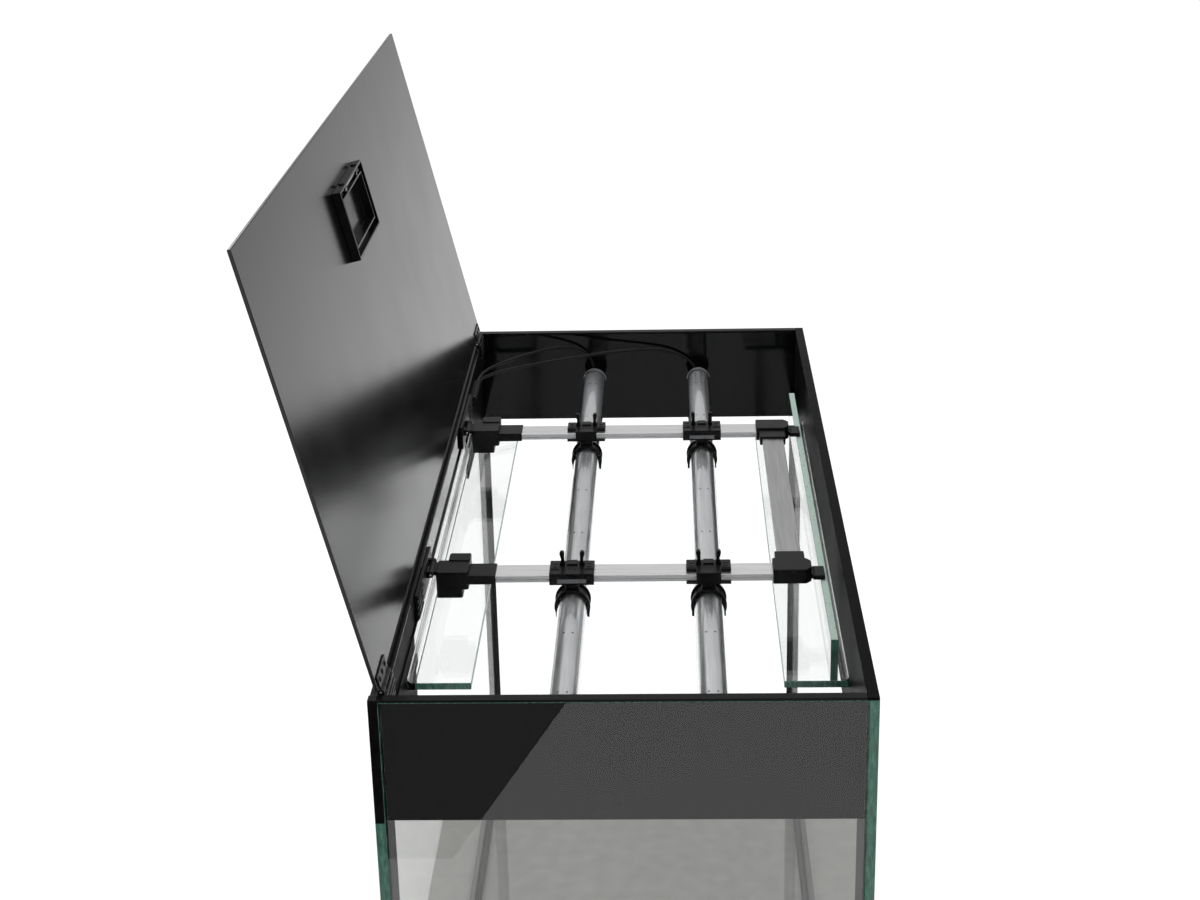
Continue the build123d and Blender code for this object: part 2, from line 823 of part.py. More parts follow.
def make_lamp(lamp, row):
    """A clear tube with a light carrier, a strip of light chips and two end caps."""
    half = tube_length / 2
    inner = tube_radius - tube_wall
    with BuildPart() as tube:
        rod(-half, half, row, lamp_z, tube_radius)
        rod(-half, half, row, lamp_z, inner, Mode.SUBTRACT)
    keep(tube.part, f"{lamp}_lamp_tube")

    carrier_radius = inner - carrier_gap
    carrier_half = half - cap_plug - carrier_end_gap
    with BuildPart() as carrier:
        rod(-carrier_half, carrier_half, row, lamp_z, carrier_radius)
        slab(
            (-carrier_half, row - carrier_radius, lamp_z - carrier_radius),
            (carrier_half, row + carrier_radius, lamp_z - carrier_wall),
            Mode.SUBTRACT,
        )
        with BuildSketch(Plane.YZ.offset(-carrier_half)):
            with Locations((row, lamp_z)):
                Circle(carrier_radius - carrier_wall)
                with Locations((0, -carrier_radius / 2)):
                    Rectangle(2 * carrier_radius, carrier_radius, mode=Mode.SUBTRACT)
        extrude(amount=2 * carrier_half, mode=Mode.SUBTRACT)
    keep(carrier.part, f"{lamp}_lamp_carrier")

    board_top = lamp_z - carrier_wall
    board_low = board_top - led_board_thick
    with BuildPart() as strip:
        board_half = carrier_half - led_board_inset
        slab(
            (-board_half, row - led_board_width / 2, board_low),
            (board_half, row + led_board_width / 2, board_top),
        )
        with Locations((0, row, board_low - led_height / 2)):
            with GridLocations(led_pitch, led_size, int(2 * board_half / led_pitch), 1):
                Box(led_size, led_size, led_height)
    keep(strip.part, f"{lamp}_lamp_strip")

    with BuildPart() as near_cap:
        rod(-half - cap_length, -half, row, lamp_z, tube_radius)
        fillet(near_cap.faces().sort_by(Axis.X)[0].edges(), cap_round)
        rod(-half, -half + cap_plug, row, lamp_z, inner)
    keep(near_cap.part, f"{lamp}_lamp_cap_left")

    with BuildPart() as far_cap:
        rod(half, half + cap_length, row, lamp_z, tube_radius)
        fillet(far_cap.faces().sort_by(Axis.X)[-1].edges(), cap_round)
        rod(half - cap_plug, half, row, lamp_z, inner)
        rod(half + cap_length, half + cap_length + gland_length, row, lamp_z, gland_radius)
    keep(far_cap.part, f"{lamp}_lamp_cap_right")


def make_boot():
    """The ribbed boot on the rear rail that both lamp cables run into."""
    with BuildPart() as boot:
        rod(boot_start_x, boot_mouth_x, boot_y, frame_axis_z, boot_radius)
        rib_count = int((boot_length - boot_foot_inset) / boot_rib_pitch)
        for rib in range(rib_count):
            rib_x = boot_mouth_x - boot_foot_inset - rib * boot_rib_pitch
            rod(rib_x - boot_rib_width, rib_x, boot_y, frame_axis_z, boot_rib_radius)
        slab(
            (boot_start_x + boot_foot_inset, boot_y, frame_axis_z - boot_foot_height / 2),
            (boot_mouth_x - boot_foot_inset, rail_y, frame_axis_z + boot_foot_height / 2),
        )
    keep(boot.part, "cable_boot")


def make_cable(name, points):
    """A cable tube along its route, with each corner as round as its runs allow."""
    route = [Vector(*point) for point in points]
    runs = [b - a for a, b in zip(route, route[1:])]
    radii = []
    for before, after in zip(runs, runs[1:]):
        half_turn = math.radians(before.get_angle(after) / 2)
        radii.append(0.45 * min(before.length, after.length) / math.tan(half_turn))
    with BuildPart() as cable:
        with BuildLine() as path:
            FilletPolyline(*route, radius=radii)
        with BuildSketch(Plane(origin=route[0], z_dir=runs[0])):
            Circle(cable_radius)
        sweep()
    length = path.wires()[0].length
    drift = cable.part.volume / (math.pi * cable_radius**2 * length)
    print(name, "length", round(length, 1), "volume share", round(drift, 5))
    print("  radii", [round(radius, 1) for radius in radii])
    keep(cable.part, name)


def route_points(row, port_rise, climb, crossing):
    """A cable's points from its lamp's cap to the boot.

    The climb is given as (inset from the right band, share across, drop below
    the rim), and the crossing as (share along, share across, drop). The shares
    run from the lamp's axis and the right band to the boot's axis and mouth.
    """
    across = boot_y - row
    along = band_x - boot_mouth_x
    start = lamp_end_gap - cap_length - gland_length
    points = [(band_x - start, row, lamp_z), (band_x - cable_wall_gap, row, lamp_z)]
    points += [(band_x - inset, row + share * across, rim_top - drop) for inset, share, drop in climb]
    points += [
        (band_x - part * along, row + share * across, rim_top - drop)
        for part, share, drop in crossing
    ]
    port_z = frame_axis_z + port_rise
    points += [
        (boot_mouth_x + boot_lead, boot_y, port_z),
        (boot_mouth_x, boot_y, port_z),
    ]
    return points


rear_climb = ((6, 0.02, 43), (6.5, 0.11, 24))
rear_crossing = (
    (0.10, 0.27, 16.5),
    (0.23, 0.48, 15.5),
    (0.41, 0.69, 16.8),
    (0.58, 0.86, 18.2),
    (0.74, 0.96, 19.3),
)
front_climb = ((6, 0.03, 46), (7.5, 0.11, 29), (12, 0.22, 22.5))
front_crossing = (
    (0.16, 0.38, 21.5),
    (0.31, 0.54, 21),
    (0.46, 0.68, 20.5),
    (0.57, 0.79, 21),
    (0.65, 0.87, 21.7),
    (0.73, 0.935, 23),
    (0.84, 0.985, 24),
)

make_glass()
make_braces()
make_band_and_rim()
make_lid_hinges()
make_lid()
make_bars()
make_front_brackets()
make_rear_brackets()
make_frame_hinges()
for lamp, row in zip(lamp_names, lamp_y):
    make_clip(f"{lamp}_clip_left", -bar_x, row, covered=lamp == "rear")
    make_clip(f"{lamp}_clip_right", bar_x, row, covered=False)
    make_lamp(lamp, row)
make_boot()
make_cable("rear_lamp_cable", route_points(lamp_y[0], port_offset, rear_climb, rear_crossing))
make_cable("front_lamp_cable", route_points(lamp_y[1], -port_offset, front_climb, front_crossing))
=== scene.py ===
# %% [markdown]
# A glass aquarium with an open lid, seen from one end and a little above.
# The measured parts come first: they are loaded as a fixed frame, and every
# piece made here takes its place from them. Lengths are written in
# millimetres, as on a maker's drawing, and turned into metres at the end.

import json
import math

import bmesh
import bpy
from mathutils import Matrix, Vector


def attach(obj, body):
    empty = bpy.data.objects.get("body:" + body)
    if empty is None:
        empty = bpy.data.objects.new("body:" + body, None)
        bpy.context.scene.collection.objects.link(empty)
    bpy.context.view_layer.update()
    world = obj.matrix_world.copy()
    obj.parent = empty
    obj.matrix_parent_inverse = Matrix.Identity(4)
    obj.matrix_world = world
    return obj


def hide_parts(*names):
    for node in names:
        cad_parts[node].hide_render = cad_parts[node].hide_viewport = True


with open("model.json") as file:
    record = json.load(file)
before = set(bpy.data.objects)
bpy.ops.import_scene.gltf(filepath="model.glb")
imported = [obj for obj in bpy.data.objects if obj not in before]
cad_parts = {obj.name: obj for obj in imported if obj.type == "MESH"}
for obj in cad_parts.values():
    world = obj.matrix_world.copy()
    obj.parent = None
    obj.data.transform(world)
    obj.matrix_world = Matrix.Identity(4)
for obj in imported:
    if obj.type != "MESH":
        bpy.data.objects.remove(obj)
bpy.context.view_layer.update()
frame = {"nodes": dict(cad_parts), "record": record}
nodes = frame["nodes"]
slot_of = {row["node"]: row["material_slot"] for row in frame["record"]["subparts"]}
MM = 0.001
print("parts loaded:", len(nodes))

# %% [markdown]
# The camera stands past the left end of the tank and looks along it, tilted
# down and rolled slightly. A track-to constraint could aim it, but could not
# give the roll, so its place and three turns are written as numbers and a
# matrix holds them all.

# %% Camera
camera_place = Vector((-2388.24, -50.87, 1676.90)) * MM
yaw = math.radians(2.1464)
pitch = math.radians(20.7305)
roll = math.radians(-1.3312)

level_ahead = Vector((math.cos(yaw), math.sin(yaw), 0))
forward = level_ahead * math.cos(pitch) - Vector((0, 0, math.sin(pitch)))
level_right = Vector((math.sin(yaw), -math.cos(yaw), 0))
level_up = level_right.cross(forward)
camera_right = math.cos(roll) * level_right + math.sin(roll) * level_up
camera_up = math.cos(roll) * level_up - math.sin(roll) * level_right

camera_data = bpy.data.cameras.new("camera")
camera_data.sensor_width = 36.0
camera_data.lens = 2060.44 * 36.0 / 1200.0
camera_data.clip_end = 200.0
camera = bpy.data.objects.new("camera", camera_data)
turn = Matrix((camera_right, camera_up, -forward)).transposed().to_4x4()
camera.matrix_world = Matrix.Translation(camera_place) @ turn
scene = bpy.context.scene
scene.collection.objects.link(camera)
scene.camera = camera
scene.view_settings.view_transform = "Standard"
print("camera lens:", round(camera_data.lens, 2), "mm")

# %% [markdown]
# Each lamp has one cable. It leaves the lamp's end, climbs over the frame and
# runs into a ribbed boot on the rear rail. A cable could be a swept tube, but
# a NURBS curve is smoother: the points of the route pull it into one line, and
# its bevel gives it thickness.

# %% Lamp cables
CABLE = 4.0
cable_routes = {
    "rear": (
        (568, 65, 676), (582, 65, 676), (582, 68.3, 697), (581.5, 83, 716),
        (571.7, 109.3, 723.5), (550.5, 143.7, 724.5), (521.2, 178.2, 723.2), (493.5, 206, 721.8),
        (467.4, 222.4, 720.7), (435, 229, 720.1), (425, 229, 720.1),
    ),
    "front": (
        (568, -91, 676), (582, -91, 676), (582, -81.4, 694), (580.5, -55.8, 711),
        (576, -20.6, 717.5), (561.9, 30.6, 718.5), (537.5, 81.8, 719), (513, 126.6, 719.5),
        (495.1, 161.8, 719), (482, 187.4, 718.3), (469, 208.2, 717), (451.1, 224.2, 716),
        (435, 229, 715.9), (425, 229, 715.9),
    ),
}


def make_cable(lamp, points):
    """A cable as one smooth curve that rides on the light frame."""
    curve = bpy.data.curves.new(f"{lamp}_cable", "CURVE")
    curve.dimensions = "3D"
    curve.bevel_depth = 1.0
    curve.bevel_resolution = 5
    curve.resolution_u = 16
    curve.use_fill_caps = True
    line = curve.splines.new("NURBS")
    line.points.add(len(points) - 1)
    for spot, point in zip(line.points, points):
        spot.co = (*(Vector(point) * MM), 1.0)
        spot.radius = CABLE / 2 * MM
    line.order_u = 3
    line.use_endpoint_u = True
    line.use_smooth = True
    cable = bpy.data.objects.new(f"{lamp}_cable", curve)
    scene.collection.objects.link(cable)
    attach(cable, "light_frame")
    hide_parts(f"{lamp}_lamp_cable")
    print(cable.name, "route points:", len(points))
    return cable


cables = [make_cable(lamp, points) for lamp, points in cable_routes.items()]

# %% [markdown]
# Every finish is made of shader nodes. A finish could be one flat colour, but
# real moulded plastic, metal and glass vary a little over their surface, so
# each one starts from the same small kit: a noise pattern on the piece's own
# coordinates that shifts its colour and roughness and raises a fine relief.

# %% A kit for finishes
def start_finish(name):
    """A new material with its shader and a pattern scaled in metres."""
    made = bpy.data.materials.new(name)
    made.use_nodes = True
    tree = made.node_tree
    shader = tree.nodes["Principled BSDF"]
    place = tree.nodes.new("ShaderNodeTexCoord")
    return made, tree, shader, place


def add_noise(tree, place, scale, stretch=(1, 1, 1), detail=3.0):
    """A noise pattern; a small stretch draws it out into streaks."""
    mapping = tree.nodes.new("ShaderNodeMapping")
    mapping.inputs["Scale"].default_value = stretch
    noise = tree.nodes.new("ShaderNodeTexNoise")
    noise.inputs["Scale"].default_value = scale
    noise.inputs["Detail"].default_value = detail
    tree.links.new(place.outputs["Object"], mapping.inputs["Vector"])
    tree.links.new(mapping.outputs["Vector"], noise.inputs["Vector"])
    return noise.outputs["Fac"]


def shift_colour(tree, fac, socket, dark, light, low=0.3, high=0.7):
    """Runs a pattern between two colours into a socket."""
    ramp = tree.nodes.new("ShaderNodeValToRGB")
    ramp.color_ramp.elements[0].position = low
    ramp.color_ramp.elements[0].color = (*dark, 1)
    ramp.color_ramp.elements[1].position = high
    ramp.color_ramp.elements[1].color = (*light, 1)
    tree.links.new(fac, ramp.inputs["Fac"])
    tree.links.new(ramp.outputs["Color"], socket)


def shift_value(tree, fac, socket, low, high):
    """Runs a pattern between two numbers into a socket."""
    spread = tree.nodes.new("ShaderNodeMapRange")
    spread.inputs["From Min"].default_value = 0.3
    spread.inputs["From Max"].default_value = 0.7
    spread.inputs["To Min"].default_value = low
    spread.inputs["To Max"].default_value = high
    tree.links.new(fac, spread.inputs["Value"])
    tree.links.new(spread.outputs["Result"], socket)


def add_relief(tree, fac, shader, depth, strength=0.4):
    """Raises a pattern as a fine relief, its depth in millimetres."""
    bump = tree.nodes.new("ShaderNodeBump")
    bump.inputs["Strength"].default_value = strength
    bump.inputs["Distance"].default_value = depth * MM
    tree.links.new(fac, bump.inputs["Height"])
    tree.links.new(bump.outputs["Normal"], shader.inputs["Normal"])


# %% [markdown]
# Black comes in several kinds here. The end bands are glossy and the long ones
# matt, the lid is satin, fittings are moulded with a fine grain, and silicone
# and cable jackets are soft and rubbery. One maker takes the colour, the gloss,
# the grain and how strongly the surface mirrors.

# %% Black and moulded finishes
def moulded_finish(name, dark, light, gloss, grain, depth=0.02, specular=0.5):
    """A moulded or coated surface; gloss is its lowest and highest roughness."""
    made, tree, shader, place = start_finish(name)
    cloud = add_noise(tree, place, grain / 12)
    shift_colour(tree, cloud, shader.inputs["Base Color"], dark, light)
    shift_value(tree, cloud, shader.inputs["Roughness"], *gloss)
    if depth:
        fine = add_noise(tree, place, grain, detail=2.0)
        add_relief(tree, fine, shader, depth)
    shader.inputs["Specular IOR Level"].default_value = specular
    return made


gloss_black = moulded_finish(
    "gloss_black", (0.002, 0.002, 0.002), (0.004, 0.004, 0.0045), (0.05, 0.09), 90, depth=0, specular=0.15,
)
lid_satin = moulded_finish(
    "lid_satin", (0.002, 0.002, 0.002), (0.004, 0.004, 0.0045), (0.18, 0.21), 120, depth=0, specular=0.42,
)
moulded_black = moulded_finish(
    "moulded_black", (0.003, 0.003, 0.003), (0.006, 0.006, 0.0065), (0.28, 0.38), 1400,
    depth=0.03, specular=0.14,
)
polished_black = moulded_finish(
    "polished_black", (0.003, 0.003, 0.003), (0.005, 0.005, 0.0055), (0.12, 0.18), 900,
    depth=0.005, specular=0.10,
)
silicone_black = moulded_finish(
    "silicone_black", (0.008, 0.008, 0.008), (0.016, 0.016, 0.016), (0.30, 0.42), 220, depth=0.15,
)
band_matt = moulded_finish(
    "band_matt", (0.003, 0.003, 0.003), (0.008, 0.008, 0.0085), (0.34, 0.46), 60, depth=0, specular=0.01,
)
rim_dark = moulded_finish(
    "rim_dark", (0.001, 0.001, 0.001), (0.002, 0.002, 0.0022), (0.30, 0.40), 900, depth=0, specular=0.03,
)
screw_black = moulded_finish(
    "screw_black", (0.006, 0.006, 0.006), (0.012, 0.012, 0.012), (0.24, 0.34), 1200, depth=0.02, specular=0.3,
)
cable_black = moulded_finish(
    "cable_black", (0.004, 0.004, 0.004), (0.008, 0.008, 0.008), (0.30, 0.40), 1000,
    depth=0.03, specular=0.16,
)
cap_grey = moulded_finish("cap_grey", (0.10, 0.105, 0.11), (0.16, 0.165, 0.17), (0.25, 0.38), 1000, 0.02)
foam_pale = moulded_finish("foam_pale", (0.40, 0.385, 0.36), (0.50, 0.48, 0.455), (0.75, 0.9), 500, 0.4)
board_white = moulded_finish("board_white", (0.74, 0.74, 0.72), (0.82, 0.82, 0.80), (0.4, 0.5), 600, 0.02)
chip_yellow = moulded_finish("chip_yellow", (0.70, 0.62, 0.30), (0.80, 0.72, 0.38), (0.3, 0.4), 600, 0.02)
for cable in cables:
    cable.data.materials.append(cable_black)
print("black and moulded finishes:", len(bpy.data.materials))

# %% [markdown]
# The bars are extruded aluminium with a satin finish: metal, fairly rough, and
# drawn into fine streaks along the bar. The streaks are noise stretched by a
# Mapping node, which is simpler than a hand-painted scratch map. The grooved
# sides of a bar get a darker copy of the same metal: painted shade, for the
# smaller share of light that falls on them than on its top.

# %% Metal finishes
def metal_finish(name, dark, light, gloss, stretch, depth=0.004):
    """Drawn or turned metal with streaks along one direction."""
    made, tree, shader, place = start_finish(name)
    streak = add_noise(tree, place, 900, stretch, 2.0)
    shift_colour(tree, streak, shader.inputs["Base Color"], dark, light)
    shift_value(tree, streak, shader.inputs["Roughness"], *gloss)
    add_relief(tree, streak, shader, depth, 0.25)
    shader.inputs["Metallic"].default_value = 1.0
    return made


bar_metal = metal_finish("bar_metal", (0.88, 0.88, 0.89), (0.96, 0.96, 0.97), (0.26, 0.34), (1, 0.02, 1))
# A darker copy of the bar metal: painted shade for the grooved sides of the crossbars.
bar_side_painted_shade = metal_finish("bar_side_painted_shade", (0.36, 0.36, 0.37), (0.48, 0.48, 0.49), (0.30, 0.40), (1, 0.02, 1))
flat_metal = metal_finish("flat_metal", (0.40, 0.40, 0.41), (0.54, 0.54, 0.55), (0.30, 0.40), (0.02, 1, 1))
carrier_metal = metal_finish(
    "carrier_metal", (0.66, 0.67, 0.68), (0.80, 0.81, 0.82), (0.30, 0.42), (0.02, 1, 1),
)
pin_steel = metal_finish("pin_steel", (0.45, 0.45, 0.46), (0.60, 0.60, 0.61), (0.22, 0.30), (1, 0.1, 0.1))
rivet_dark = metal_finish("rivet_dark", (0.10, 0.10, 0.10), (0.18, 0.18, 0.18), (0.3, 0.4), (1, 1, 1))
print("metal finishes:", bar_metal.name, flat_metal.name, carrier_metal.name)

# %% [markdown]
# Glass needs two ideas. Its faces are clear and bend light, so they use a
# transmission shader, and a transparent one for shadow rays, because light
# that bends twice is slow to find. Its cut edges are ground, so they scatter
# light and look green, dark where the eye looks down the whole length of the
# sheet. A paler copy of the edge is a painted highlight for an edge lit from above.

# %% Clear finishes
def clear_finish(name, dark, light, gloss, bend=1.5):
    """A clear solid whose shadow lets the light through."""
    made, tree, shader, place = start_finish(name)
    cloud = add_noise(tree, place, 9)
    shift_colour(tree, cloud, shader.inputs["Base Color"], dark, light)
    shift_value(tree, cloud, shader.inputs["Roughness"], *gloss)
    shader.inputs["Transmission Weight"].default_value = 1.0
    shader.inputs["IOR"].default_value = bend
    path = tree.nodes.new("ShaderNodeLightPath")
    open_way = tree.nodes.new("ShaderNodeBsdfTransparent")
    open_way.inputs["Color"].default_value = (*light, 1)
    blend = tree.nodes.new("ShaderNodeMixShader")
    tree.links.new(path.outputs["Is Shadow Ray"], blend.inputs["Fac"])
    tree.links.new(shader.outputs["BSDF"], blend.inputs[1])
    tree.links.new(open_way.outputs["BSDF"], blend.inputs[2])
    tree.links.new(blend.outputs["Shader"], tree.nodes["Material Output"].inputs["Surface"])
    return made


pane_clear = clear_finish("pane_clear", (0.985, 0.995, 0.99), (0.995, 1.0, 0.998), (0.0, 0.003))
brace_clear = clear_finish("brace_clear", (0.975, 0.99, 0.982), (0.985, 0.996, 0.99), (0.0, 0.004))
sleeve_clear = clear_finish("sleeve_clear", (0.93, 0.935, 0.94), (0.97, 0.972, 0.975), (0.01, 0.03), 1.46)
silicone_clear = clear_finish("silicone_clear", (0.96, 0.97, 0.965), (0.985, 0.99, 0.987), (0.02, 0.06), 1.41)


def edge_finish(name, dark, light, gloss):
    """A ground glass edge, streaked down its height by the grinding."""
    made, tree, shader, place = start_finish(name)
    streak = add_noise(tree, place, 260, (1, 1, 0.25), 4.0)
    shift_colour(tree, streak, shader.inputs["Base Color"], dark, light)
    shift_value(tree, streak, shader.inputs["Roughness"], *gloss)
    add_relief(tree, streak, shader, 0.05)
    return made


edge_teal = edge_finish("edge_teal", (0.045, 0.15, 0.105), (0.13, 0.38, 0.28), (0.18, 0.32))
edge_dark = edge_finish("edge_dark", (0.018, 0.075, 0.05), (0.06, 0.19, 0.135), (0.18, 0.32))
# A paler edge copy: painted highlight for the strip's top edge, lit from above.
edge_painted_highlight = edge_finish("edge_painted_highlight", (0.36, 0.50, 0.43), (0.50, 0.64, 0.57), (0.25, 0.40))
scene.cycles.caustics_refractive = False
scene.cycles.caustics_reflective = False
scene.cycles.max_bounces = 16
scene.cycles.transmission_bounces = 16
scene.cycles.transparent_max_bounces = 24
scene.cycles.glossy_bounces = 6
print("clear finishes:", pane_clear.name, sleeve_clear.name)

# %% [markdown]
# The tank stands on a plain white floor under a white sky. Both show as white
# to the eye, to gloss and to glass, while the light they give is plain, so
# that colours keep the value they were written with. The floor also keeps a
# soft shadow, and to gloss its glow is painted dimmer towards the front of the
# tank, as a lit table grows dim away from its lamps. Soft area lamps stand above and beside.

# %% Floor and sky
def seen_ray(tree):
    """One where a ray comes from the eye, from gloss or from glass."""
    path = tree.nodes.new("ShaderNodeLightPath")
    most = tree.nodes.new("ShaderNodeMath")
    most.operation = "MAXIMUM"
    all_three = tree.nodes.new("ShaderNodeMath")
    all_three.operation = "MAXIMUM"
    tree.links.new(path.outputs["Is Camera Ray"], most.inputs[0])
    tree.links.new(path.outputs["Is Glossy Ray"], most.inputs[1])
    tree.links.new(most.outputs[0], all_three.inputs[0])
    tree.links.new(path.outputs["Is Transmission Ray"], all_three.inputs[1])
    return all_three.outputs[0]


FLOOR_REACH = 40
FLOOR_GLOW = 0.86
SKY_LIGHT = 0.55
SKY_IN_GLOSS = 0.55


def make_floor():
    """A wide pale floor that shows white and keeps a shadow."""
    grid = bmesh.new()
    bmesh.ops.create_grid(grid, x_segments=1, y_segments=1, size=FLOOR_REACH)
    mesh = bpy.data.meshes.new("floor")
    grid.to_mesh(mesh)
    grid.free()
    floor = bpy.data.objects.new("floor", mesh)
    scene.collection.objects.link(floor)
    made, tree, shader, place = start_finish("floor_white")
    shader.inputs["Base Color"].default_value = (0.8, 0.8, 0.8, 1)
    shader.inputs["Roughness"].default_value = 0.9
    shader.inputs["Specular IOR Level"].default_value = 0.0
    shade = tree.nodes.new("ShaderNodeBsdfDiffuse")
    shade.inputs["Color"].default_value = (0.3, 0.3, 0.3, 1)
    glow = tree.nodes.new("ShaderNodeEmission")
    across = tree.nodes.new("ShaderNodeSeparateXYZ")
    # Painted falloff of light: the floor's glow in gloss dims towards the front.
    painted_falloff = tree.nodes.new("ShaderNodeMapRange")
    painted_falloff.inputs["From Min"].default_value = -2.3
    painted_falloff.inputs["From Max"].default_value = -0.6
    painted_falloff.inputs["To Min"].default_value = 0.33
    painted_falloff.inputs["To Max"].default_value = 0.90
    path = tree.nodes.new("ShaderNodeLightPath")
    strength = tree.nodes.new("ShaderNodeMix")
    strength.inputs["A"].default_value = FLOOR_GLOW
    tree.links.new(place.outputs["Object"], across.inputs["Vector"])
    tree.links.new(across.outputs["Y"], painted_falloff.inputs["Value"])
    tree.links.new(path.outputs["Is Glossy Ray"], strength.inputs["Factor"])
    tree.links.new(painted_falloff.outputs["Result"], strength.inputs["B"])
    tree.links.new(strength.outputs["Result"], glow.inputs["Strength"])
    shown = tree.nodes.new("ShaderNodeAddShader")
    tree.links.new(shade.outputs["BSDF"], shown.inputs[0])
    tree.links.new(glow.outputs["Emission"], shown.inputs[1])
    blend = tree.nodes.new("ShaderNodeMixShader")
    tree.links.new(seen_ray(tree), blend.inputs["Fac"])
    tree.links.new(shader.outputs["BSDF"], blend.inputs[1])
    tree.links.new(shown.outputs["Shader"], blend.inputs[2])
    tree.links.new(blend.outputs["Shader"], tree.nodes["Material Output"].inputs["Surface"])
    mesh.materials.append(made)
    return floor


floor = make_floor()

sky = bpy.data.worlds.new("sky")
scene.world = sky
sky.use_nodes = True
sky_tree = sky.node_tree
light_side = sky_tree.nodes["Background"]
light_side.inputs["Color"].default_value = (1, 1, 1, 1)
light_side.inputs["Strength"].default_value = SKY_LIGHT
seen_side = sky_tree.nodes.new("ShaderNodeBackground")
seen_side.inputs["Color"].default_value = (1, 1, 1, 1)
sky_path = sky_tree.nodes.new("ShaderNodeLightPath")
sky_strength = sky_tree.nodes.new("ShaderNodeMix")
sky_strength.inputs["A"].default_value = 1.0
sky_strength.inputs["B"].default_value = SKY_IN_GLOSS
sky_tree.links.new(sky_path.outputs["Is Glossy Ray"], sky_strength.inputs["Factor"])
sky_tree.links.new(sky_strength.outputs["Result"], seen_side.inputs["Strength"])
sky_blend = sky_tree.nodes.new("ShaderNodeMixShader")
sky_tree.links.new(seen_ray(sky_tree), sky_blend.inputs["Fac"])
sky_tree.links.new(light_side.outputs["Background"], sky_blend.inputs[1])
sky_tree.links.new(seen_side.outputs["Background"], sky_blend.inputs[2])
sky_tree.links.new(sky_blend.outputs["Shader"], sky_tree.nodes["World Output"].inputs["Surface"])
print("floor and sky made")

# %% Lamps of the studio
def add_studio_lamp(name, place, target, size, power):
    """A square soft lamp aimed at a point."""
    data = bpy.data.lights.new(name, "AREA")
    data.shape = "SQUARE"
    data.size = size
    data.energy = power
    lamp = bpy.data.objects.new(name, data)
    aim = Vector(target) - Vector(place)
    lamp.matrix_world = Matrix.Translation(place) @ aim.to_track_quat("-Z", "Y").to_matrix().to_4x4()
    scene.collection.objects.link(lamp)
    lamp.visible_camera = False
    return lamp


add_studio_lamp("lamp_above", (0.3, 0.2, 3.4), (0, 0, 0.7), 2.6, 42)
add_studio_lamp("lamp_near", (-2.6, -2.2, 2.6), (0, 0, 0.5), 1.8, 26)
add_studio_lamp("lamp_far", (2.4, 2.0, 2.4), (0, 0, 0.5), 1.8, 20)
print("studio lamps: 3")

# %% [markdown]
# Close to the tank the floor shows grey through its glass and in its gloss,
# while the background is white. Plain glowing sheets just above the floor
# paint this in: one, seen through glass, is painted shade; two, seen in gloss, are painted reflections.

# %% Painted shade and reflections near the tank
PATCH_LIFT = 0.0004


def make_painted_sheet(name, low, high, level, through_glass):
    """A grey glowing sheet on the floor: painted shade that only glass shows, or a painted reflection that
    only gloss shows.
    """
    sheet = bmesh.new()
    middle = Vector(((low[0] + high[0]) / 2, (low[1] + high[1]) / 2, PATCH_LIFT))
    size = Matrix.Diagonal((high[0] - low[0], high[1] - low[1], 1, 1))
    spread = Matrix.Translation(middle) @ size
    bmesh.ops.create_grid(sheet, x_segments=1, y_segments=1, size=0.5, matrix=spread)
    mesh = bpy.data.meshes.new(name)
    sheet.to_mesh(mesh)
    sheet.free()
    patch = bpy.data.objects.new(name, mesh)
    scene.collection.objects.link(patch)
    made, tree, shader, place = start_finish(name)
    shader.inputs["Base Color"].default_value = (0, 0, 0, 1)
    shader.inputs["Specular IOR Level"].default_value = 0.0
    shader.inputs["Emission Color"].default_value = (1.0, 0.985, 0.93, 1)
    shader.inputs["Emission Strength"].default_value = level
    mesh.materials.append(made)
    patch.visible_camera = False
    patch.visible_diffuse = False
    patch.visible_shadow = False
    patch.visible_glossy = not through_glass
    patch.visible_transmission = through_glass
    return patch


# Painted shade of the floor near the tank, seen through glass, and two painted reflections, seen in gloss.
make_painted_sheet("painted_shade_through_glass", (-0.7, -0.9), (0.78, 0.322), 0.36, True)
make_painted_sheet("painted_reflection_near_tank", (-0.7, -0.55), (0.9, 0.55), 0.05, False)
make_painted_sheet("painted_reflection_beyond_tank", (0.9, -0.55), (3.0, 0.55), 0.16, False)
print("table patches: 3")

# %% [markdown]
# The glossy near end of the tank mirrors the studio: white on its right, and a
# black flag on its left, with a slanting border between them. The flag is a
# black board on the floor before the tank's end that only reflections see: it
# casts no shadow and is never seen directly, a painted reflection in the band.

# %% Black flag, a painted reflection
def make_reflection_flag():
    """A black board that only reflections see: a painted reflection."""
    board = bmesh.new()
    corners = [(-1.5, 0.287, 0.0), (-1.5, 0.8, 0.0), (-1.5, 0.8, 0.33), (-1.5, 0.063, 0.33)]
    board.faces.new([board.verts.new(corner) for corner in corners])
    mesh = bpy.data.meshes.new("flag")
    board.to_mesh(mesh)
    board.free()
    flag = bpy.data.objects.new("flag", mesh)
    scene.collection.objects.link(flag)
    made, tree, shader, place = start_finish("painted_reflection_black")
    shader.inputs["Base Color"].default_value = (0.0, 0.0, 0.0, 1)
    shader.inputs["Specular IOR Level"].default_value = 0.0
    shader.inputs["Roughness"].default_value = 1.0
    mesh.materials.append(made)
    flag.visible_camera = False
    flag.visible_diffuse = False
    flag.visible_transmission = False
    flag.visible_shadow = False
    return flag


flag = make_reflection_flag()
print("flag made")

# %% [markdown]
# Most pieces are built from a few plain forms: blocks, pushed outlines and
# turned profiles. Each helper makes one closed shell with a bmesh operator,
# rounds its edges, and joins it to the piece. A finished piece is scaled to
# metres, shaded smooth between its creases, hung on its body, and shown in
# place of its measured parts, which are hidden.

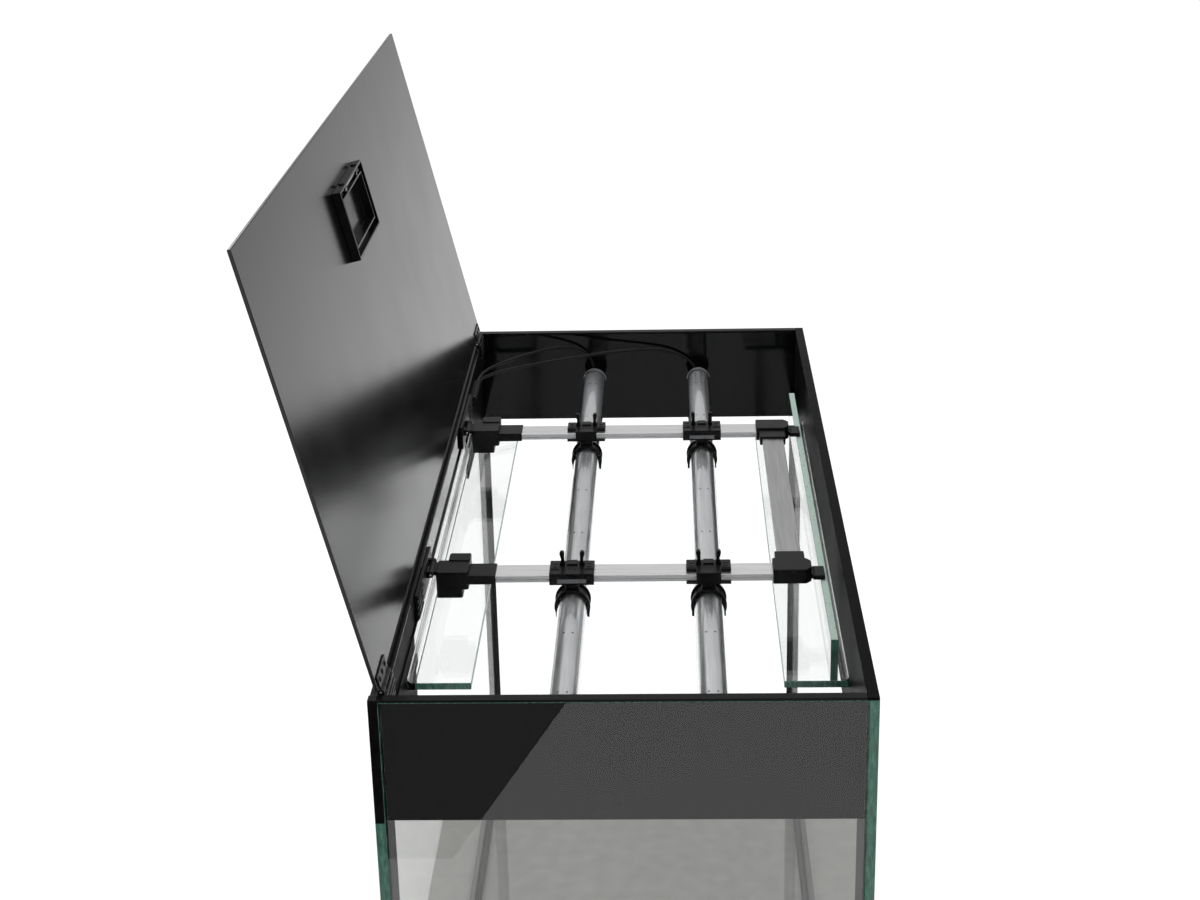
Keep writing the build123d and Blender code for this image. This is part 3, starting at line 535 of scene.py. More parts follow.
# %% Shells and pieces
def join_shell(piece, shell, finish=0, smooth=32):
    """Closes a shell, turns its faces outwards, marks its creases and adds it."""
    bmesh.ops.remove_doubles(shell, verts=shell.verts, dist=0.001)
    bmesh.ops.recalc_face_normals(shell, faces=shell.faces)
    shell.normal_update()
    limit = math.radians(smooth)
    for edge in shell.edges:
        if edge.calc_face_angle(0) > limit:
            edge.smooth = False
    for face in shell.faces:
        face.smooth = True
        if face.material_index == 0:
            face.material_index = finish
    mesh = bpy.data.meshes.new("shell")
    shell.to_mesh(mesh)
    shell.free()
    piece.from_mesh(mesh)
    bpy.data.meshes.remove(mesh)


def round_edges(shell, width, steps=2, sharper_than=30):
    """Rounds the edges of a shell that are sharper than an angle."""
    if width <= 0:
        return
    shell.normal_update()
    limit = math.radians(sharper_than)
    sharp = [e for e in shell.edges if len(e.link_faces) == 2 and e.calc_face_angle(0) > limit]
    rounded = bmesh.ops.bevel(
        shell, geom=sharp, offset=width, offset_type="OFFSET", segments=steps,
        profile=0.5, affect="EDGES", material=-1, clamp_overlap=True,
    )["faces"]
    strips = set(rounded)
    for edge in shell.edges:
        if sum(face in strips for face in edge.link_faces) == 1:
            edge.smooth = False


def finish_piece(piece, name, body, finishes, stands_for, place=None):
    """Turns a piece into an object that rides on its body."""
    if place is not None:
        bmesh.ops.transform(piece, matrix=place, verts=piece.verts)
    bmesh.ops.scale(piece, vec=Vector((MM, MM, MM)), verts=piece.verts)
    mesh = bpy.data.meshes.new(name)
    piece.to_mesh(mesh)
    piece.free()
    for one in finishes:
        mesh.materials.append(one)
    made = bpy.data.objects.new(name, mesh)
    scene.collection.objects.link(made)
    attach(made, body)
    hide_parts(*stands_for)
    print(name, "faces:", len(mesh.polygons))
    return made


# %% Blocks and outlines
def add_block(piece, low, high, round_by=0.6, steps=2, finish=0):
    """A block between two corners with rounded edges."""
    middle = [(a + b) / 2 for a, b in zip(low, high)]
    size = [abs(b - a) for a, b in zip(low, high)]
    shell = bmesh.new()
    bmesh.ops.create_cube(shell, size=1, matrix=Matrix.Translation(middle) @ Matrix.Diagonal((*size, 1)))
    round_edges(shell, round_by, steps)
    join_shell(piece, shell, finish)


def lift_points(points, axis, along):
    """Flat points as points in space; the axis they leave out is set to along."""
    index = "xyz".index(axis)
    return [(*pair[:index], along, *pair[index:]) for pair in points]


def add_outline(piece, points, axis, start, end, hole=(), round_by=0.0, steps=2, finish=0):
    """A flat outline, with a hole in it if wanted, pushed along an axis."""
    shell = bmesh.new()
    edges = []
    for loop in (points, hole):
        corners = [shell.verts.new(spot) for spot in lift_points(loop, axis, start)]
        edges += [shell.edges.new(pair) for pair in zip(corners, corners[1:] + corners[:1])]
    if hole:
        bmesh.ops.triangle_fill(shell, edges=edges, use_beauty=True, use_dissolve=False)
    else:
        shell.faces.new(list(shell.verts))
    pushed = bmesh.ops.extrude_face_region(shell, geom=list(shell.faces))["geom"]
    move = Vector(lift_points([(0, 0)], axis, end - start)[0])
    bmesh.ops.translate(shell, vec=move, verts=[g for g in pushed if isinstance(g, bmesh.types.BMVert)])
    bmesh.ops.recalc_face_normals(shell, faces=shell.faces)
    round_edges(shell, round_by, steps)
    join_shell(piece, shell, finish)


def rectangle(low, high):
    """The four corners of a rectangle, in order."""
    return [(low[0], low[1]), (high[0], low[1]), (high[0], high[1]), (low[0], high[1])]


def arc_points(middle, radius, start, end, count):
    """Points along an arc, its angles in degrees."""
    turns = [math.radians(start + (end - start) * i / (count - 1)) for i in range(count)]
    return [(middle[0] + radius * math.cos(a), middle[1] + radius * math.sin(a)) for a in turns]


def rounded_box(low, high, radius, count=5):
    """The outline of a rectangle with round corners."""
    corners = (
        (high[0] - radius, high[1] - radius, 0),
        (low[0] + radius, high[1] - radius, 90),
        (low[0] + radius, low[1] + radius, 180),
        (high[0] - radius, low[1] + radius, 270),
    )
    outline = []
    for x, y, turn_start in corners:
        outline += arc_points((x, y), radius, turn_start, turn_start + 90, count)
    return outline


# %% Turned forms
def add_turned(piece, profile, place, axis="x", steps=40, finish=0):
    """A profile of (along, radius) points spun round an axis through a place."""
    index = "xyz".index(axis)
    across = 2 if axis == "x" else 0
    shell = bmesh.new()
    line = []
    for along, radius in profile:
        spot = list(place)
        spot[index] += along
        spot[across] += radius
        line.append(shell.verts.new(spot))
    edges = [shell.edges.new(pair) for pair in zip(line, line[1:])]
    direction = Vector((0, 0, 0))
    direction[index] = 1
    bmesh.ops.spin(
        shell, geom=line + edges, axis=direction, cent=place,
        angle=math.tau, steps=steps, use_merge=True, use_duplicate=False,
    )
    join_shell(piece, shell, finish)


def add_rod(piece, start, end, place, radius, axis="x", ease=0.4, steps=32, finish=0):
    """A round bar with eased ends."""
    low, high = sorted((start, end))
    quarter = 0.3 * ease
    profile = [
        (low, 0), (low, radius - ease), (low + quarter, radius - quarter), (low + ease, radius),
        (high - ease, radius), (high - quarter, radius - quarter), (high, radius - ease), (high, 0),
    ]
    add_turned(piece, profile, place, axis, steps, finish)


def add_tube(piece, start, end, place, inner, outer, ease=0.3, steps=40, finish=0):
    """A tube along X with eased rims."""
    low, high = sorted((start, end))
    profile = [
        (low, inner), (low, outer - ease), (low + ease, outer), (high - ease, outer),
        (high, outer - ease), (high, inner), (low, inner),
    ]
    add_turned(piece, profile, place, "x", steps, finish)


def add_arc_band(piece, x0, x1, middle, inner, outer, start, sweep, steps=30, round_by=0.4):
    """A thick band bent round a line along X, from one angle through another."""
    shell = bmesh.new()
    a = math.radians(start)
    ring = [
        shell.verts.new((x, middle[0] + r * math.cos(a), middle[1] + r * math.sin(a)))
        for x, r in ((x0, inner), (x1, inner), (x1, outer), (x0, outer))
    ]
    edges = [shell.edges.new(pair) for pair in zip(ring, ring[1:] + ring[:1])]
    bmesh.ops.spin(
        shell, geom=ring + edges, axis=(1, 0, 0), cent=(0, *middle),
        angle=math.radians(sweep), steps=steps, use_merge=False, use_duplicate=False,
    )
    bmesh.ops.holes_fill(shell, edges=[e for e in shell.edges if e.is_boundary], sides=4)
    bmesh.ops.recalc_face_normals(shell, faces=shell.faces)
    round_edges(shell, round_by)
    join_shell(piece, shell)


print("helpers for blocks, outlines and turned forms are ready")

# %% [markdown]
# The tank is five sheets of float glass glued together on a soft foam mat.
# Each sheet could be one box, but a real sheet has ground edges: its arrises
# are broken, and the edge is green while the faces are clear. So the box is
# bevelled and every face that is not one of the two large ones becomes edge.
# The levels of the glass, the band and the rim are named here, once.

# %% Glass sheets
TOUCH = 0.05
OUTER_X, OUTER_Y = 600, 250
GLASS_X, GLASS_Y = 590, 240
BAND_X, BAND_Y = 588, 238
TANK_FLOOR = 17
BAND_LOW = 602
GLASS_TOP = 737
RIM_TOP = 740
REAR_TOP = 733


def add_sheet(piece, low, high, thin, arris=0.5):
    """A glass sheet with clear faces and ground edges."""
    middle = [(a + b) / 2 for a, b in zip(low, high)]
    size = [abs(b - a) for a, b in zip(low, high)]
    shell = bmesh.new()
    bmesh.ops.create_cube(shell, size=1, matrix=Matrix.Translation(middle) @ Matrix.Diagonal((*size, 1)))
    round_edges(shell, arris, 1)
    shell.normal_update()
    for face in shell.faces:
        face.material_index = 0 if abs(face.normal["xyz".index(thin)]) > 0.95 else 1
    join_shell(piece, shell)


def make_sheet(name, low, high, thin, stands_for, clear=None, arris=0.5):
    """One glass sheet as a piece of the tank."""
    piece = bmesh.new()
    add_sheet(piece, low, high, thin, arris)
    finishes = (clear or pane_clear, edge_teal if clear else edge_dark)
    return finish_piece(piece, name, "tank", finishes, (stands_for,))


# %% Foam mat and panes
MAT = 5
MAT_INSET = 4
mat_x, mat_y = OUTER_X - MAT_INSET, OUTER_Y - MAT_INSET
mat = bmesh.new()
add_block(mat, (-mat_x, -mat_y, 0), (mat_x, mat_y, MAT - TOUCH), 1.2, 3)
finish_piece(mat, "foam_sheet", "tank", (foam_pale,), ("base_mat",))

make_sheet("bottom_glass", (-OUTER_X, -OUTER_Y, MAT), (OUTER_X, OUTER_Y, TANK_FLOOR), "z", "bottom_pane")
front_low = (-OUTER_X, -OUTER_Y, TANK_FLOOR + TOUCH)
make_sheet("front_glass", front_low, (OUTER_X, -GLASS_Y, GLASS_TOP - TOUCH), "y", "front_pane")
rear_low = (-OUTER_X, GLASS_Y, TANK_FLOOR + TOUCH)
make_sheet("rear_glass", rear_low, (OUTER_X, OUTER_Y, REAR_TOP - TOUCH), "y", "rear_pane")
for side, part in ((-1, "left"), (1, "right")):
    near, far = sorted((side * GLASS_X, side * OUTER_X))
    low = (near, TOUCH - GLASS_Y, TANK_FLOOR + TOUCH)
    high = (far, GLASS_Y - TOUCH, GLASS_TOP - TOUCH)
    make_sheet(f"{part}_end_glass", low, high, "x", f"{part}_pane")

# %% [markdown]
# Black silicone fills the inner corners. It is pressed in and drawn off with a
# finger, so its face is hollow. A triangle would do from afar, but the hollow
# catches a soft light line. Every bead is the same outline, a corner with an
# arc bitten out of it, pushed along its wall; at the corners they run into
# each other as the real ones do.

# %% Silicone beads
BEAD = 9.0


def bead_outline(corner_a, corner_b, side_a, side_b, leg=BEAD):
    """A corner filled by a bead with a hollow face, as points of (a, b)."""
    bite = arc_points((leg, leg), leg - TOUCH, 180, 270, 7)
    corner = [(TOUCH, TOUCH)] + bite
    return [(corner_a - side_a * a, corner_b - side_b * b) for a, b in corner]


floor_bead = bmesh.new()
for side in (-1, 1):
    along_wall = bead_outline(side * GLASS_Y, TANK_FLOOR, side, -1)
    add_outline(floor_bead, along_wall, "x", TOUCH - GLASS_X, GLASS_X - TOUCH)
    across_end = bead_outline(side * GLASS_X, TANK_FLOOR, side, -1)
    add_outline(floor_bead, across_end, "y", TOUCH - GLASS_Y, GLASS_Y - TOUCH)
finish_piece(floor_bead, "floor_bead", "tank", (silicone_black,), ("bottom_seal",))

upright_beads = bmesh.new()
for side_x in (-1, 1):
    for side_y in (-1, 1):
        outline = bead_outline(side_x * GLASS_X, side_y * GLASS_Y, side_x, side_y)
        add_outline(upright_beads, outline, "z", TANK_FLOOR + TOUCH, BAND_LOW - TOUCH)
finish_piece(upright_beads, "upright_beads", "tank", (silicone_black,), ("corner_seals",))

# %% [markdown]
# Two glass braces run along the tank under its top edge, and an upright strip
# of glass stands on the front one to carry the light frame. They are thinner
# sheets, seen mostly by their green edges. Clear silicone joins them to the
# band, drawn off hollow like the beads below. The rear brace stands a little
# off the wall, and a strip of silicone fills the room between.

# %% Braces and strip
BRACE_X = 400
BRACE_INNER = 169
REAR_BRACE_EDGE = 230
BRACE_LOW, BRACE_TOP = 648, 656
REAR_GAP_X = 325

front_low = (-BRACE_X, -BAND_Y + TOUCH, BRACE_LOW)
front_high = (BRACE_X, -BRACE_INNER, BRACE_TOP)
make_sheet("front_brace_glass", front_low, front_high, "z", "front_brace", brace_clear, 0.4)
rear_low = (-BRACE_X, BRACE_INNER, BRACE_LOW)
rear_high = (BRACE_X, REAR_BRACE_EDGE - TOUCH, BRACE_TOP)
make_sheet("rear_brace_glass", rear_low, rear_high, "z", "rear_brace", brace_clear, 0.4)


def make_strip():
    """The upright strip; its top edge has a painted highlight, paler than its dark ends."""
    piece = bmesh.new()
    add_sheet(piece, (-BRACE_X, -226, BRACE_TOP + TOUCH), (BRACE_X, -218, 705), "y", 0.4)
    piece.normal_update()
    # Faces turned up take the painted highlight of an edge lit from above.
    for face in piece.faces:
        if face.normal.z > 0.95:
            face.material_index = 2
    return finish_piece(piece, "strip_glass", "tank", (brace_clear, edge_teal, edge_painted_highlight), ("support_strip",))


make_strip()
JOINT = 6.0
for side, part in ((-1, "front"), (1, "rear")):
    joint = bmesh.new()
    add_outline(joint, bead_outline(side * BAND_Y, BRACE_TOP, side, -1, JOINT), "x", -BRACE_X, BRACE_X)
    if side == 1:
        low = (-BRACE_X, REAR_BRACE_EDGE, BRACE_LOW)
        add_block(joint, low, (BRACE_X, BAND_Y - TOUCH, BRACE_TOP), 0.2, 1)
        low = (-REAR_GAP_X, BAND_Y, BRACE_LOW)
        add_block(joint, low, (REAR_GAP_X, GLASS_Y - TOUCH, BRACE_TOP + JOINT), 0.2, 1)
    finish_piece(joint, f"{part}_joint_bead", "tank", (silicone_clear,), (f"{part}_brace_joint",))

# %% [markdown]
# Black panels line the top of the tank and hide the water line and the lamps.
# They are bonded to the glass, so each one bites a hair into it, which leaves
# no gleaming gap of air between the two. A black rim caps the glass on all four
# sides, and a rail behind carries every hinge. Panels are thin blocks with soft
# edges; the rail is pushed from its section, with its small lip, and cut into
# three lengths, because only its middle is glossy.

# %% Panels
RAIL_LOW = 697
band_top = GLASS_TOP - TOUCH
panel_places = {
    "front_band": ((-GLASS_X, -GLASS_Y - TOUCH, BAND_LOW), (GLASS_X, -BAND_Y, band_top)),
    "left_band": ((-GLASS_X - TOUCH, -BAND_Y, BAND_LOW), (-BAND_X, BAND_Y, band_top)),
    "right_band": ((BAND_X, -BAND_Y, BAND_LOW), (GLASS_X + TOUCH, BAND_Y, band_top)),
    "rear_band_left": ((-GLASS_X, BAND_Y, BAND_LOW), (-REAR_GAP_X, GLASS_Y + TOUCH, RAIL_LOW)),
    "rear_band_right": ((REAR_GAP_X, BAND_Y, BAND_LOW), (GLASS_X, GLASS_Y + TOUCH, RAIL_LOW)),
}
for node, (low, high) in panel_places.items():
    panel = bmesh.new()
    add_block(panel, low, high, 0.3, 2)
    finish = gloss_black if node in ("left_band", "right_band") else band_matt
    finish_piece(panel, f"{node}_panel", "tank", (finish,), (node,))

# %% Rims and rear rail
front_rim = bmesh.new()
add_block(front_rim, (-OUTER_X, -OUTER_Y, GLASS_TOP), (OUTER_X, -BAND_Y, RIM_TOP), 0.9, 3)
finish_piece(front_rim, "front_rim_cap", "tank", (rim_dark,), ("rim_front",))

for side, part in ((-1, "left"), (1, "right")):
    inner, outer = sorted((side * BAND_X, side * OUTER_X))
    end_rim = bmesh.new()
    add_block(end_rim, (inner, -BAND_Y, GLASS_TOP), (outer, OUTER_Y, RIM_TOP), 0.9, 3)
    add_block(end_rim, (inner, GLASS_Y + TOUCH, REAR_TOP), (outer, OUTER_Y, GLASS_TOP + 1), 0.3, 2)
    film = sorted((side * (OUTER_X - 0.4), side * (OUTER_X + TOUCH)))
    add_block(end_rim, (film[0], 240.2, BAND_LOW), (film[1], 249.8, REAR_TOP + 0.5), 0.0)
    finish_piece(end_rim, f"{part}_rim_cap", "tank", (polished_black,), (f"rim_{part}",))

RAIL_Y = 234
rear_rim = bmesh.new()
add_block(rear_rim, (-BAND_X, RAIL_Y, REAR_TOP), (BAND_X, OUTER_Y, REAR_TOP + 3), 0.9, 3)
finish_piece(rear_rim, "rear_rim_cap", "tank", (polished_black,), ("rim_rear",))

rail = bmesh.new()
rail_section = [
    (RAIL_Y - 2, RAIL_LOW), (GLASS_Y - TOUCH, RAIL_LOW), (GLASS_Y - TOUCH, REAR_TOP),
    (RAIL_Y, REAR_TOP), (RAIL_Y, RAIL_LOW + 3), (RAIL_Y - 2, RAIL_LOW + 3),
]
add_outline(rail, rail_section, "x", -BAND_X, BAND_X, round_by=0.4)
for cut in (-REAR_GAP_X, REAR_GAP_X):
    shell_parts = rail.verts[:] + rail.edges[:] + rail.faces[:]
    bmesh.ops.bisect_plane(rail, geom=shell_parts, plane_co=(cut, 0, 0), plane_no=(1, 0, 0))
for face in rail.faces:
    if abs(face.calc_center_median().x) > REAR_GAP_X:
        face.material_index = 1
finish_piece(rail, "rail_extrusion", "tank", (gloss_black, band_matt), ("rear_rail",))

# %% [markdown]
# The lid turns on two piano-style hinges. Each has a ridged base on the rear
# rail, a leaf screwed under the lid and a steel pin through both. The knuckles
# are spun tubes, so that the pin really passes through them, and the ridges
# stand proud of the base as small rounded blocks.

# %% Lid hinges
PIN = 1.5
BORE = 1.55
KNUCKLE = 3.5
LEAF = 52.0
hinge_middles = (-559.0, 559.0)
axis_place = (0, 238, 740.3)
lid_place = Matrix.Translation(axis_place) @ Matrix.Rotation(math.radians(-103.5), 4, "X")

bases = bmesh.new()
for middle in hinge_middles:
    left, right = middle - LEAF / 2, middle + LEAF / 2
    add_block(bases, (left, 232.5, 712), (right, RAIL_Y - TOUCH, 737.5), 0.3)
    for rib in range(3):
        rib_low = 714.5 + 7 * rib
        add_block(bases, (left, 231, rib_low), (right, 232.7, rib_low + 3), 0.6, 2)
    for start, end in ((left, left + 14), (right - 14, right)):
        add_tube(bases, start, end, axis_place, BORE, KNUCKLE)
        add_block(bases, (start, 233.3, 736), (end, 236.4, 738.6), 0.3)
finish_piece(bases, "lid_hinge_folds", "tank", (moulded_black,), ("lid_hinge_bases",))

leaves = bmesh.new()
for middle in hinge_middles:
    left, right = middle - LEAF / 2, middle + LEAF / 2
    start, end = left + 14.5, right - 14.5
    add_block(leaves, (left, -17.5, -1.5), (right, -4.5, 0), 0.4)
    add_block(leaves, (start, -4.8, -1.5), (end, -1.7, 0), 0.3)
    add_tube(leaves, start, end, (0, 0, 0), BORE, KNUCKLE)
finish_piece(leaves, "lid_hinge_plates", "lid", (moulded_black,), ("lid_hinge_leaves",), lid_place)

pins = bmesh.new()
for middle in hinge_middles:
    add_rod(pins, middle - LEAF / 2, middle + LEAF / 2, (0, 0, 0), PIN)
finish_piece(pins, "lid_hinge_rods", "lid", (pin_steel,), ("lid_hinge_pins",), lid_place)

# %% [markdown]
# The lid is one satin black sheet with a window for the hatch. A boolean could
# cut the window, but it leaves poor faces: filling the outer rectangle with the
# inner one as its hole, then pushing the face up, gives edges that bevel well.

# %% Lid sheet and screws
hatch = (-35.0, -359.0)
lid_sheet = bmesh.new()
outer_low, outer_high = (-591, -466.5), (591, -5)
window_low, window_high = (hatch[0] - 75, hatch[1] - 32), (hatch[0] + 75, hatch[1] + 32)
window = rectangle(window_low, window_high)
add_outline(lid_sheet, rectangle(outer_low, outer_high), "z", 0, 4, window, round_by=0.7, steps=3)
finish_piece(lid_sheet, "lid_board", "lid", (lid_satin,), ("lid_panel",), lid_place)


def add_screw(piece, x, y, seat, head):
    """A round-headed screw pointing up into the lid, with a socket in its head."""
    profile = [
        (3.4, 0), (3.4, 1.1), (3.0, 1.5), (seat, 1.5), (seat, head), (seat - 0.5, head),
        (seat - 1.0, head - 0.5), (seat - 1.2, head - 1.1), (seat - 1.2, 1.2),
        (seat - 0.6, 1.1), (seat - 0.6, 0),
    ]
    add_turned(piece, profile, (x, y, 0), "z", 24)


screws = bmesh.new()
for middle in hinge_middles:
    for step in (-17, 0, 17):
        add_screw(screws, middle + step, -11, -1.5, 3.0)
for side_x in (-1, 1):
    for side_y in (-1, 1):
        add_screw(screws, hatch[0] + side_x * 78, hatch[1] + side_y * 35, -2.0, 2.4)
finish_piece(screws, "lid_screw_set", "lid", (screw_black,), ("lid_screws",), lid_place)

# %% [markdown]
# The feeding hatch is a moulded frame under the lid with a flap in it. The
# frame has a tall wall, a flat flange inside it and two ears for the pin; two
# round bosses stand out of its free wall. The flap is a shallow tray, lighter
# and stiffer than a slab, with two arms that reach back to the pin.

# %% Feeding hatch
flap_axis = (0, -393.5, -5.5)


def hatch_outline(half_x, half_y):
    """A rectangle of the hatch, round its middle."""
    return rectangle((hatch[0] - half_x, hatch[1] - half_y), (hatch[0] + half_x, hatch[1] + half_y))


def add_tray(piece, low, high, wall, floor_top, round_by=0.6):
    """A block whose lower face is sunk up to a height, leaving a wall all round."""
    middle = [(a + b) / 2 for a, b in zip(low, high)]
    size = [b - a for a, b in zip(low, high)]
    shell = bmesh.new()
    bmesh.ops.create_cube(shell, size=1, matrix=Matrix.Translation(middle) @ Matrix.Diagonal((*size, 1)))
    under = [face for face in shell.faces if face.normal.z < -0.9]
    bmesh.ops.inset_region(shell, faces=under, thickness=wall, use_even_offset=True)
    bmesh.ops.inset_region(shell, faces=under, thickness=0, depth=0)
    bmesh.ops.translate(shell, vec=(0, 0, floor_top - low[2]), verts=list(under[0].verts))
    round_edges(shell, round_by)
    join_shell(piece, shell)


housing = bmesh.new()
add_outline(housing, hatch_outline(84, 41), "z", -10.5, 0, hatch_outline(81, 38), round_by=0.7, steps=3)
add_outline(housing, hatch_outline(81.2, 38.2), "z", -2, 0, hatch_outline(75, 32), round_by=0.4)
for offset in (-41, 57):
    start, end = hatch[0] + offset - 3.5, hatch[0] + offset + 3.5
    add_tube(housing, start, end, flap_axis, BORE, KNUCKLE)
    add_block(housing, (start, -397.2, -9), (end, -395.4, -1.8), 0.3)
    add_rod(housing, -401.5, -399, (hatch[0] + offset, 0, -5.5), 3.5, "y", 0.6)
finish_piece(housing, "hatch_frame", "lid", (polished_black,), ("hatch_housing",), lid_place)

flap = bmesh.new()
add_tray(flap, (hatch[0] - 73, hatch[1] - 30, -9), (hatch[0] + 73, hatch[1] + 30, 4), 2.5, 1.5)
for start, end in ((-72, -64), (10, 18)):
    add_tube(flap, start, end, flap_axis, BORE, KNUCKLE - 0.3)
    add_block(flap, (start, -391.9, -8), (end, -388.6, -3), 0.4)
finish_piece(flap, "hatch_tray", "hatch_flap", (polished_black,), ("hatch_flap",), lid_place)

hatch_rod = bmesh.new()
add_rod(hatch_rod, -79.5, 25.5, flap_axis, PIN)
finish_piece(hatch_rod, "hatch_rod", "hatch_flap", (pin_steel,), ("hatch_pin",), lid_place)

# %% [markdown]
# The light frame folds up on two hinges of its own. Two hollow aluminium bars
# cross the tank and a flat bar joins their front ends. The crossbars are
# extrusions, so their section, with a groove in each side, is drawn once with
# its hollow and pushed along the tank's width.

# %% Frame bars
BAR = 233.0
bar_sides = (("left", -BAR), ("right", BAR))


def bar_section(bar):
    """The grooved section of a crossbar, its corners broken."""
    half = [
        (15.6, 706), (16, 706.4), (16, 708.6), (14.6, 709), (14.6, 711),
        (16, 711.4), (16, 713.6), (15.6, 714),
    ]
    return [(bar + x, z) for x, z in half] + [(bar - x, z) for x, z in half[::-1]]


for part, bar in bar_sides:
    crossbar = bmesh.new()
    hollow = rectangle((bar - 13.4, 707.5), (bar + 13.4, 712.5))
    add_outline(crossbar, bar_section(bar), "y", -196, 196, hollow)
    # Faces turned sideways take the darker copy of the metal, painted shade.
    crossbar.normal_update()
    for face in crossbar.faces:
        if abs(face.normal.x) > 0.6:
            face.material_index = 1
    finishes = (bar_metal, bar_side_painted_shade)
    finish_piece(crossbar, f"{part}_bar_extrusion", "light_frame", finishes, (f"crossbar_{part}",))

flat_bar = bmesh.new()
add_block(flat_bar, (-217, -199, 708), (217, -171, 714), 0.7, 3)
finish_piece(flat_bar, "front_flat_bar", "light_frame", (flat_metal,), ("front_bar",))

# %% [markdown]
# Moulded corner blocks join the bars. The front ones narrow to a tongue that
# rests on the glass strip; the rear ones hold a sleeve for the crossbar and a
# knuckle for the hinge. Blocks with round upright corners are pushed outlines
# rather than bevelled boxes, because only four of their edges are that round.

# %% Front brackets
for part, bar in bar_sides:
    inward = 1 if bar < 0 else -1
    bracket = bmesh.new()
    plan = [
        (bar - 17, -164), (bar + 17, -164), (bar + 17, -202),
        (bar + 10, -208), (bar - 10, -208), (bar - 17, -202),
    ]
    add_outline(bracket, plan, "z", 702, 720, round_by=1.4, steps=3)
    add_block(bracket, (bar - 10, -212, 705.3), (bar + 10, -204, 711), 0.5)
    add_block(bracket, (bar - 13.5, -223, 705.3), (bar + 13.5, -209.5, 711), 0.8, 3)
    reach = sorted((bar + inward * 15, bar + inward * 43))
    add_block(bracket, (reach[0], -202, 705), (reach[1], -168, 717), 1.0, 3)
    finish_piece(bracket, f"front_{part}_corner", "light_frame", (moulded_black,), (f"front_bracket_{part}",))

# %% Rear brackets
frame_axis = (0, 226, 718)
for part, bar in bar_sides:
    bracket = bmesh.new()
    add_outline(bracket, rounded_box((bar - 17.5, 183), (bar + 17.5, 220), 3), "z", 698, 720, round_by=0.9)
    add_outline(bracket, rounded_box((bar - 17.5, 190), (bar + 17.5, 220), 3), "z", 688, 700, round_by=0.4)
    add_outline(bracket, rounded_box((bar + 14.5, 183), (bar + 34.5, 208), 3), "z", 704, 721.5, round_by=0.9)
    add_block(bracket, (bar - 17.6, 152, 704.4), (bar + 17.6, 186, 715.6), 0.8, 3)
    add_tube(bracket, bar - 13.5, bar + 13.5, frame_axis, BORE, KNUCKLE)
    add_block(bracket, (bar - 13.5, 218.5, 714.5), (bar + 13.5, 224.3, 719.5), 0.4)
    finish_piece(bracket, f"rear_{part}_corner", "light_frame", (moulded_black,), (f"rear_bracket_{part}",))

# %% [markdown]
# Behind the frame stand two wall bases with an ear on each side of the
# knuckle, and a pin through all three. Their outer ends carry ridges for the
# fingers. The cables end in a ribbed boot beside them: it is turned from one
# profile, which makes every rib the same.

# %% Frame hinges
for part, bar in bar_sides:
    outward = -1 if bar < 0 else 1
    base = bmesh.new()
    plate = sorted((bar - outward * 34, bar + outward * 104))
    add_block(base, (plate[0], 230, 700), (plate[1], RAIL_Y - TOUCH, 730.7), 0.8, 3)
    for start in (bar - 20, bar + 14):
        add_tube(base, start, start + 6, frame_axis, BORE, 4.0)
        add_block(base, (start, 227.7, 714), (start + 6, 230.6, 722), 0.4)
    ridge = sorted((bar + outward * 62, bar + outward * 104))
    for rib in range(4):
        rib_low = 702.5 + 7.5 * rib
        add_block(base, (ridge[0], 228.5, rib_low), (ridge[1], 230.6, rib_low + 3), 0.7, 3)
    finish_piece(base, f"frame_{part}_base", "tank", (moulded_black,), (f"frame_hinge_base_{part}",))

    pin = bmesh.new()
    add_rod(pin, bar - 20, bar + 20, frame_axis, PIN)
    finish_piece(pin, f"frame_{part}_rod", "light_frame", (pin_steel,), (f"frame_hinge_pin_{part}",))

# %% Cable boot
boot_profile = [(350, 0), (350, 3.8), (350.6, 4.4)]
for rib in range(10, -1, -1):
    rib_end = 421 - 6 * rib
    boot_profile += [(rib_end - 3, 4.4), (rib_end - 2.6, 5.0), (rib_end - 0.4, 5.0), (rib_end, 4.4)]
boot_profile += [(424.4, 4.4), (425, 3.8), (425, 0)]
boot = bmesh.new()
add_turned(boot, boot_profile, (0, 229, 718), "x", 36)
add_block(boot, (354, 229, 713.5), (421, RAIL_Y - TOUCH, 722.5), 1.0, 3)
finish_piece(boot, "ribbed_boot", "tank", (cable_black,), ("cable_boot",))

# %% [markdown]
# Four clips slide on the crossbars and hold the lamps. Each is a block round
# the bar with springy jaws below and a latch with two prongs above. The jaws
# are a thin band spun round the lamp's own axis and left open below, so that
# they match the tube, with a rib spun at each edge; their tips are pushed
# outlines that flare a little. Two clips are covered and carry a grey tab, a
# painted highlight for the light caught along the front of the cover.

# %% Lamp clips
LAMP_Z = 676
CLIP_LOW, CLIP_TOP = 704, 718
CLIP_HALF = 25.5
lamp_rows = (("rear", 65.0), ("front", -91.0))


